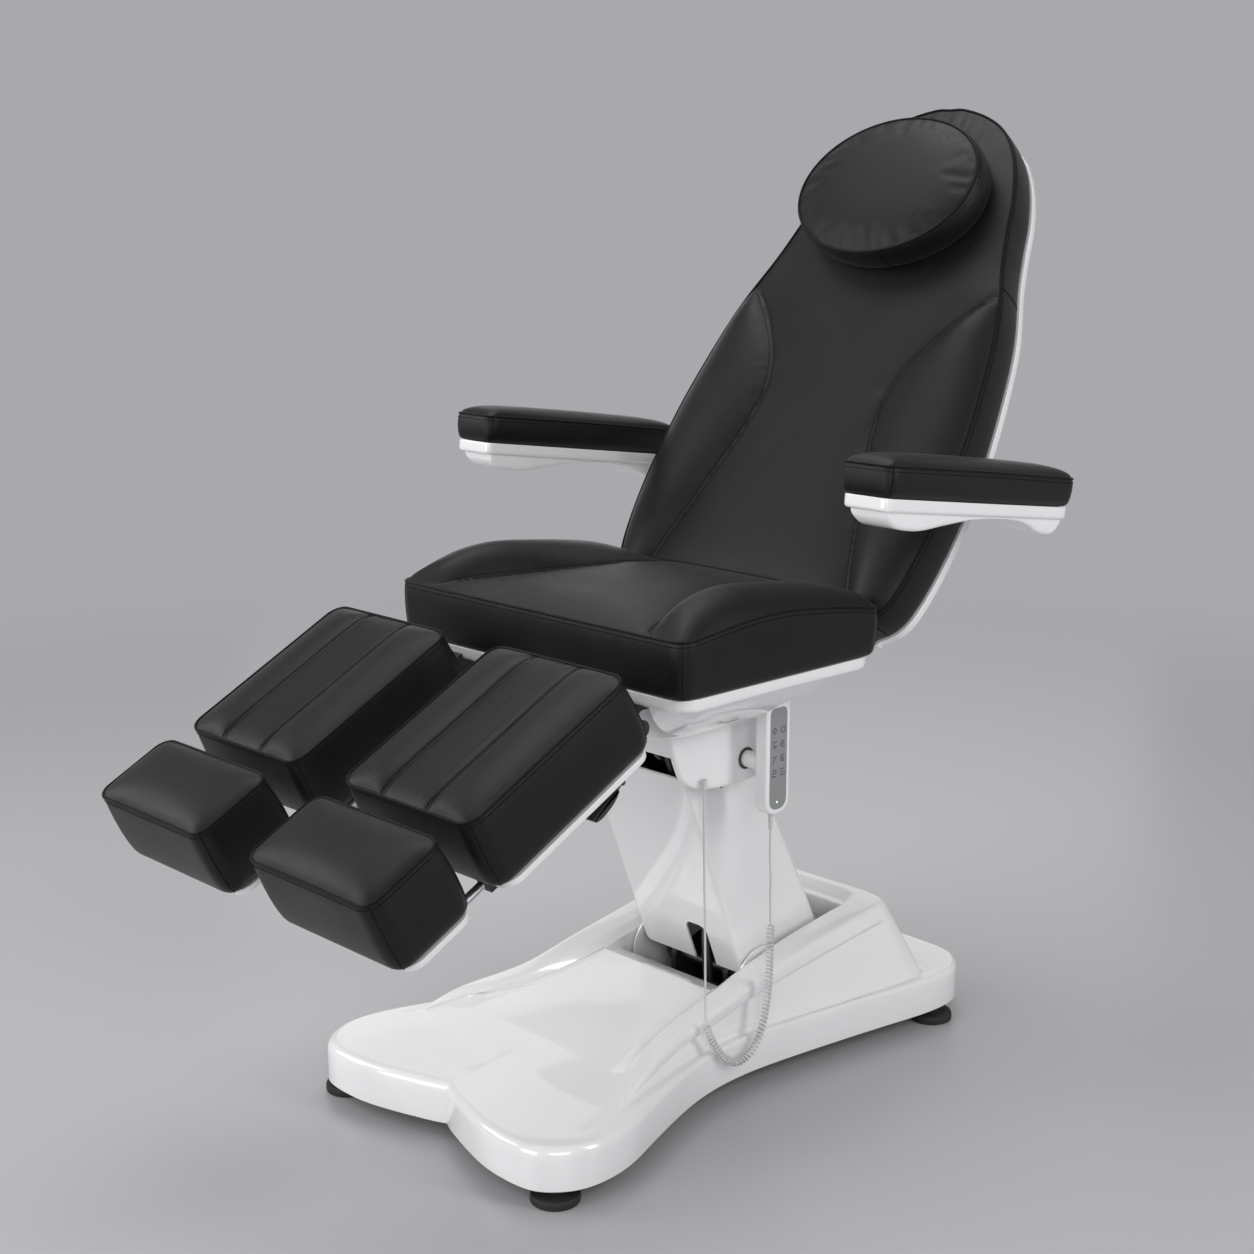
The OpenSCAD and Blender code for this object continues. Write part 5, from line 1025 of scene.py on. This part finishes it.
def base_cover():
    rim = relaxed(at_height(whole(deck(rim_line)), band_low))
    foot, outer, inner = whole(deck(foot_line)), whole(deck(outer_ridge)), whole(deck(inner_ridge))
    side = well(0, 0)
    rest = (deck(inner_ridge)[len(ramp_line):] + 2 * side[len(ramp_line):]) / 3 - (0, 0, 10 / 3)
    ramp_loop = whole(np.vstack([deck(ramp_line), rest]))
    brim, ledge = whole(side), whole(well(38, -10))
    n = len(rim)
    # The side panels lie a little below the band under the ridge
    way = unit(np.roll(foot, -1, 0) - np.roll(foot, 1, 0))
    rise = outer - foot
    length = np.linalg.norm(rise, axis=1, keepdims=True)
    out = unit(np.cross(way, rise))
    steps = np.arange(n)
    along = (np.minimum(steps, n - steps) / line_steps)[:, None]
    panel_depth, panel_starts, panel_ends = 8, 8.6, 15.3
    sunk = out * panel_depth * np.clip((along - panel_starts) / 1.5, 0, 1) ** 1.2 * np.clip(
        (panel_ends - along) / 0.6, 0, 1)
    upper_band, lower_band = np.minimum(24 / length, 0.42), np.minimum(14 / length, 0.2)
    lip = np.minimum(4.5 / length, 0.09)
    panel = [foot + rise * lower_band, foot + rise * (lower_band + lip) - sunk * 0.3,
             foot + rise * (1 - upper_band - lip) - sunk, foot + rise * (1 - upper_band)]
    levels = [inset(rim, 3.5), rim, at_height(rim, band_top), foot, *panel, outer, inner, ramp_loop, brim, ledge,
              at_height(ledge, well_floor)]
    skin = eased(levels, [0, 3, 15, 22, 3, 3, 3, 3, 10, 8, 9, 2.5, 2.5, 0], 5)
    # Back under the skin, inside; these faces take the dark material as painted shade, so the well and the
    # openings read dark
    under = [at_height(inset(ledge, -3), well_floor), inset(ledge, -3, -3), inset(ramp_loop, -3, -5),
             (inset(outer, 8) + inner) / 2 - (0, 0, 11), inset(foot, 17, -11), at_height(inset(rim, 16), 73),
             at_height(inset(rim, 3.6), 68), at_height(inset(rim, 3.6), band_low + 0.2)]
    points, faces = hoop(np.vstack([skin, np.array(under)]))
    seen = (len(skin) - 1) * n
    piece("base_shell", [(points, faces[:seen], gloss_white), (points, faces[seen:], dark_plastic)], "base",
          ["base_cover"], sharp=42)


base_cover()


# ---- shells under the cushions ----

def rim_rings(outline, levels, radii):
    """Rings from an outline: levels lists (distance outwards, height)."""
    return eased([at_height(spread(outline, by), z) for by, z in levels], radii, 5)


def dish(outline, low, high, side, body, nodes, name):
    """A shallow moulded tray under a cushion: a band round its edge and a floor that the cushion sits on."""
    floor = high + 11
    rings = rim_rings(outline, [(-12, floor), (-12, high), (0, high), (-0.6, low), (-7, low), (-7.6, high - 3),
                                (-14, high - 3), (-16, floor - 3)], [0, 0, 1.2, 2.5, 1, 3, 0, 0])
    piece(name, [(*loft([on_leg(k, side) for k in rings]), gloss_white)], body, nodes)


for side, name in SIDES:
    dish(round_rect(-122, 122, -309, -40, 24, 8, 12), 8.5, 18.6, side, "leg_rest_" + name, ["calf_shell_" + name],
         "calf_tray_" + name)
    dish(round_rect(-119, 119, -467, -361, 22, 8, 10), 18, 27.6, side, "foot_rest_" + name, ["foot_shell_" + name],
         "foot_tray_" + name)

rings = rim_rings(back_loop, [(-4, 0), (-1, 0), (-2, -18), (-40, -18), (-60, -18)], [0, 1, 8, 6, 0])
piece("back_panel", [(*loft([against_back(k, back_welt + 0.3) for k in rings]), gloss_white)], "back",
      ["back_shell"])

# Armrest shells: a band round the pad, and a belly whose depth changes along it
belly_line = spline([(0.035, 0), (0.045, 0.45), (0.08, 0.85), (0.14, 1), (0.22, 0.96), (0.34, 0.6), (0.46, 0.25),
                     (0.6, 0.12), (0.72, 0.2), (0.79, 0.5), (0.85, 0.88), (0.91, 1), (0.945, 0.85), (0.965, 0.4),
                     (0.97, 0)], 6)
belly, belly_top, belly_depth = [], 7, 23.5
for share, depth in belly_line:
    y, low = share * pad_long - 385.5, belly_top - 1 - belly_depth * depth
    w = np.interp(y, [k[1] for k in pad_half], [k[0] for k in pad_half]) - 10
    belly.append([(-w, y, belly_top), (-w, y, low), (w, y, low), (w, y, belly_top)])
belly = eased(np.array(belly).transpose(1, 0, 2), [0, 8, 8, 0], 5).transpose(1, 0, 2)
band = rim_rings(pad_loop, [(-9, 24), (-3.5, 24), (-4, 6), (-16, 6)], [0, 1.2, 6, 0])
for side, name in SIDES:
    piece("armrest_body_" + name, [(*loft([on_armrest(k, side) for k in rings]), gloss_white)
                                   for rings in (band, belly)],
          "armrest_" + name, ["armrest_shell_" + name])


def slab(outline, x0, x1, edge, drawn_in, steps):
    """Rings of a flat moulding from x0 to x1, with soft edges and its faces drawn in at their ends."""
    levels = ((x0, drawn_in), (x0, 0), (x1, 0), (x1, drawn_in))
    return eased([standing(spread(outline, -by), x) for x, by in levels], [0, edge, edge, 0], steps)


# The tray under the seat, with its bowl
tray_top, tray_low, bowl_depth = 649.7, 631.7, 84
bowl_line = spline([(0, 0), (0.16, 0.06), (0.42, 0.24), (0.68, 0.5), (0.86, 0.78), (0.95, 0.96), (1, 1.12)], 4)


def bowl_loop(narrowing, down):
    half = 260 - 110 * narrowing
    outline = round_rect(-half, half, 34 + 62 * narrowing, 372 - 110 * narrowing, 50, 10, 12)
    return at_height(outline, tray_low - down)


tray_rim = [at_height(round_rect(by - 285, 285 - by, 5 + by, 395 - by, 34, 10, 12), z)
            for by, z in ((8, tray_top), (0, tray_top), (0, tray_low))]
bowl = [bowl_loop(m, bowl_depth * d) for d, m in bowl_line]
rings = [eased(tray_rim + bowl[:2], [0, 1.5, 8, 3, 0], 5), bowl[2:], [bowl_loop(1.25, bowl_depth + 0.3)]]
tray = piece("seat_pan", [(*loft(np.vstack(rings)), gloss_white)], "seat", ["seat_tray"])
# The handset's middle
handset_y, handset_z = 286, 502


def upright_box(w, l, low_r, top_r, steps):
    """An outline with round corners in Y and Z, about the handset's middle."""
    a, b, c, d = handset_y - w / 2, handset_y + w / 2, handset_z - l / 2, handset_z + l / 2
    return rounded([(a, c), (b, c), (b, d), (a, d)], [low_r, low_r, top_r, top_r], steps)


knuckle_room = [block((x - 19, x + 19), (-1, 96), (540, 640)) for x in (LEG_AT[0], -LEG_AT[0])]
cut(tray, across(upright_box(74, 189, 36, 36, 8), 174, 320), block((-150.3, 150.3), (127.7, 376.3), (540, 619.7)),
    *knuckle_room)

# The housing round the top of the column
housing_half, housing_front, housing_low, housing_top = 147, 128, 458, 619.4
housing_shares = [(0, 1), (0, 0.52), (0.05, 0.26), (0.1, 0.14), (0.19, 0.06), (0.35, 0.01), (0.51, 0),
                  (0.69, 0.01), (0.84, 0.08), (0.93, 0.19), (0.98, 0.33), (1, 0.55), (1, 1)]
housing_side = spline([(housing_front + y * 248, housing_low + z * (housing_top - housing_low))
                       for y, z in housing_shares], 6)
rings = []
for x, by in ((-housing_half, 14), (-housing_half, 0), (housing_half, 0), (housing_half, 14)):
    outline = spread(housing_side, -by)
    outline[:, 1] = np.minimum(outline[:, 1], housing_top)
    rings.append(standing(outline, x))
housing = piece("column_housing", [(*loft(eased(rings, [0, 9, 9, 0], 5)), gloss_white)], "seat",
                ["pivot_housing"])
inner_half = housing_half - 8
cut(housing, block((-inner_half, inner_half), (137, 400), (440, 640), 12),
    across([(100, 440), (400, 440), (400, 520), (100, 520)], -inner_half, inner_half),
    block((-21, 21), (100, 400), (565, 640)))


# ---- feet, leg shaft and release levers ----

foot_profile = [(31, 0.2), (33.2, 1.4), (33.6, 4), (33.4, 10), (32.4, 12.4), (29.5, 13.6), (15, 14.4),
                (13.5, 15.4), (13, 19.6)]
feet = [(*loft(turned(40, spot, foot_profile)), foot_rubber)
        for spot in ((226, -166), (-226, -166), (213, 650), (-213, 650))]
piece("rubber_feet", feet, "base", ["levelling_feet"])
shaft = tube([(x, *LEG_AT[1:]) for x in (-236, -235, -120, 0, 120, 235, 236)], [11, 12, 12, 12, 12, 12, 11], 32)
piece("leg_rest_shaft", [(*shaft, painted_steel)], "seat", ["leg_shaft"])
blade = rounded([(-163, -1), (-160, -8), (-148, -10), (-126, -6.5), (-113, -0.5), (-109, 6)], [2, 6, 9, 9, 6, 2])
stem = rounded([(-150, -4), (-104, -1.4), (-92, 3), (-92, 14), (-108, 13), (-150, 3)], [3, 5, 6, 6, 5, 3])
grip = [slab(blade, 99, 121, 2.4, 3.6, 4), slab(stem, 100, 113, 1.4, 2.1, 4)]
for side, name in SIDES:
    piece("lever_grip_" + name, [(*loft([on_leg(k, side) for k in rings]), dark_plastic) for rings in grip],
          "lever_" + name, ["release_lever_" + name])


# ---- the front cover of the lift ----

arm_half, arm_face, cover_wall = 105, -25.5, 3


def front_section(wall, rear):
    """The channel's outline across the arm, wall inside its outer faces; its open side lies at rear."""
    w, face, r = arm_half - wall, arm_face + wall, 9 - wall
    return rounded([(-w, rear), (-w, face), (w, face), (w, rear)], [0, r, r, 0], 6)


rings = []
for z, tuck in ((30, 3), (30, 0), (105, 0), (214, 0), (300, 0), (387, 0), (387, 8)):
    rear = float(np.interp(z, [0, 105, 214, 386], [43.1, 40.8, 35.4, 34.7]))
    rings.append(at_height(spread(front_section(0, rear), -tuck), z))
rings = on_front_arm(eased(rings, [0, 2.5, 0, 0, 0, 7, 0], 5))
front_cover = piece("column_front", [(*loft(rings), gloss_white)], "front_arm", ["front_arm_cover"])
hollow = loft([on_front_arm(at_height(front_section(cover_wall, 70), z)) for z in (10, 410)])
# The notch that the lift's rod passes through
notch = rounded([(6, 0), (50, 0), (50, 96), (40, 103), (14, 103), (6, 94)], [0, 0, 7, 5, 5, 5])


def through_front(outline, y0, y1):
    """A prism for cutting, from an outline drawn across and up the front arm's face."""
    o = np.asarray(outline, float)
    points, faces = loft([np.column_stack([o[:, 0], np.full(len(o), y), o[:, 1]]) for y in (y0, y1)])
    return on_front_arm(points), faces


# Its lower corners are round
corner_x, corner_z, corner_r = 85, 50, 20.6
corner = [(110, 20), (110, corner_z), *[(corner_x + corner_r * math.cos(t), corner_z - corner_r * math.sin(t))
                                        for t in np.linspace(0, math.pi / 2, 9)], (corner_x, 20)]
cut(front_cover, hollow, through_front(notch, -60, 0), through_front(corner, -60, 65),
    through_front([(-x, z) for x, z in corner], -60, 65))
# The cover's inside faces take the dark material as painted shade, so the channel and the opening at its top read
# dark
skin = cover_wall - 0.4
front_cover.data.materials.append(dark_plastic)
for face in front_cover.data.polygons:
    centre = np.array(face.center) * 1000 + (0, SEAT_FRONT, 0) - FRONT_ARM_AT
    x, y, z = tilted(centre, (0, 0, 0), -ARM_TURN)
    face.material_index = int(abs(x) < arm_half - skin and y > arm_face + skin and 31 < z < 384)


# ---- the handset ----

case = slab(upright_box(50, 165, 23, 17, 12), 180, 202, 4, 8, 6)
piece("handset_case", [(*loft(case), gloss_white)], "seat", ["handset_shell"])
film = slab(upright_box(36, 150, 17, 11, 12), 200.9, 202.15, 0.4, 0.8, 6)
piece("handset_film", [(*loft(film), grey_film)], "seat", ["handset_panel"])
signal = turned(16, (284, 438), [(1.6, 202.2), (1.6, 202.7)], standing)
piece("handset_lamp", [(*loft(signal), lamp_white)], "seat")

# What each key moves, drawn as plain lines: the lift, the back, the legs and everything together, up and down
bow = [(3.4 * math.cos(t), 3.4 * math.sin(t)) for t in np.linspace(0.9, 5.4, 12)]
up, down = [(-1.8, -0.8), (0, 1.6), (1.8, -0.8)], [(-1.8, 0.8), (0, -1.6), (1.8, 0.8)]
key_marks = [
    [[(-3.4, 0), (0, 3.6), (3.4, 0), (0, -3.6), (-3.4, 0)], [(-1, 0), (1, 0)]],
    [bow, [(3, -3), (3, 3)]],
    [[(3, 3.6), (-2.6, 3.6), (-2.6, -1.4), (3, -1.4)], [(0, 0), (0, -4)]],
    [bow, up],
    [[(-3, -3.6), (0, 0), (3, 3.6)], [(-3, 2.4), (-0.6, 2.4)]],
    [bow, down],
    [[(-3, 3.6), (3, 3.6), (3, 0.6), (-3, 0.6), (-3, -3.4), (3, -3.4)]],
    [[(3, 3.6), (-2.6, 3.6), (-2.6, -3.6), (3, -3.6), (3, -0.6), (0, -0.6)]]]
key_gap_y, key_gap_z, keys_up, key_top, mark_size = 17.5, 21, 10.5, 202.5, 1.3
for k, drawing in enumerate(key_marks):
    y, z = handset_y + (k % 2 - 0.5) * key_gap_y, handset_z + keys_up + (1.5 - k // 2) * key_gap_z
    rings = turned(28, (y, z), [(6.3, 200.2), (6.4, 201.9), (6.1, 202.35), (5.2, key_top), (2.6, key_top + 0.05)],
                   standing)
    marks = [(*tube([(key_top, y + mark_size * a, z + mark_size * b) for a, b in mark], 0.55, 6), dark_print)
             for mark in drawing]
    piece("key_face_%d" % (k + 1), [(*loft(rings), grey_film), *marks], "key_%d_body" % (k + 1),
          ["key_%d" % (k + 1)])

hook_y, hook_z = 278, 493
peg = tube([(x, hook_y, hook_z) for x in (144, 160, 170, 180.5)], 12.5, 32)
piece("handset_hook", [(*peg, gloss_white)], "seat", ["handset_peg"])
ring = tube(standing(circle(40, 14.2) + (hook_y, hook_z), 148.5), 1.8, 10, closed=True)
piece("hook_ring", [(*ring, dark_plastic)], "seat", ["peg_ring"])


# ---- light, floor and background ----

def lamp(name, place, aim, size, power):
    light = bpy.data.lights.new(name, "AREA")
    light.shape, light.size, light.size_y, light.energy = "RECTANGLE", size[0], size[1], power
    made = linked(name, light)
    made.location = place
    made.rotation_euler = (Vector(aim) - Vector(place)).to_track_quat("-Z", "Y").to_euler()


lamp("overhead_softbox", (-0.6, 0.2, 3.6), (0, 0, 0.6), (2.6, 2.2), 50)
lamp("left_softbox", (-2.6, -2.2, 2.2), (0, 0, 0.7), (1.6, 2.2), 46)
lamp("front_softbox", (-0.3, -3.9, 1.4), (0, 0, 0.55), (2.4, 2.0), 58)
lamp("camera_softbox", (3.1, -2.3, 1.9), (0, 0, 0.5), (2.2, 2.0), 40)
lamp("right_strip", (2.9, 0.9, 1.9), (0, 0.1, 0.7), (0.8, 2.2), 34)
lamp("rear_softbox", (-2.8, 3.0, 1.6), (0, 0, 0.7), (3.4, 2.6), 16)

backdrop_colour = (0.397, 0.397, 0.418, 1)
world = bpy.data.worlds.new("studio")
scene.world = world
world.use_nodes = True
world.node_tree.nodes.clear()
seen = node(world, "ShaderNodeLightPath").outputs["Is Camera Ray"]
around = node(world, "ShaderNodeBackground", {"Color": (0.32, 0.32, 0.326, 1)}).outputs[0]
backdrop = node(world, "ShaderNodeBackground", {"Color": backdrop_colour}).outputs[0]
mixed = node(world, "ShaderNodeMixShader", {0: seen, 1: around, 2: backdrop}).outputs[0]
node(world, "ShaderNodeOutputWorld", {"Surface": mixed})

# A round floor that fades into the backdrop
edge_points = 96
floor = placed("floor", np.vstack([(0, 0, 0), at_height(circle(edge_points, 9), 0)]),
               [(0, i + 1, (i + 1) % edge_points + 1) for i in range(edge_points)])
paint, shader, place = finish("studio_floor", (0.44, 0.44, 0.456), Roughness=0.3, Specular_IOR_Level=0.25)
far = node(paint, "ShaderNodeVectorMath", {0: place}, operation="LENGTH").outputs["Value"]
fade = node(paint, "ShaderNodeMapRange", {"Value": far, "From Min": 1.3, "From Max": 4.0},
            interpolation_type="SMOOTHSTEP").outputs["Result"]
sky = node(paint, "ShaderNodeEmission", {"Color": backdrop_colour, "Strength": 1.0}).outputs[0]
blend = node(paint, "ShaderNodeMixShader", {0: fade, 1: shader.outputs[0], 2: sky}).outputs[0]
join(paint, blend, paint.node_tree.nodes["Material Output"], "Surface")
floor.data.materials.append(paint)
scene.view_settings.view_transform = "Standard"
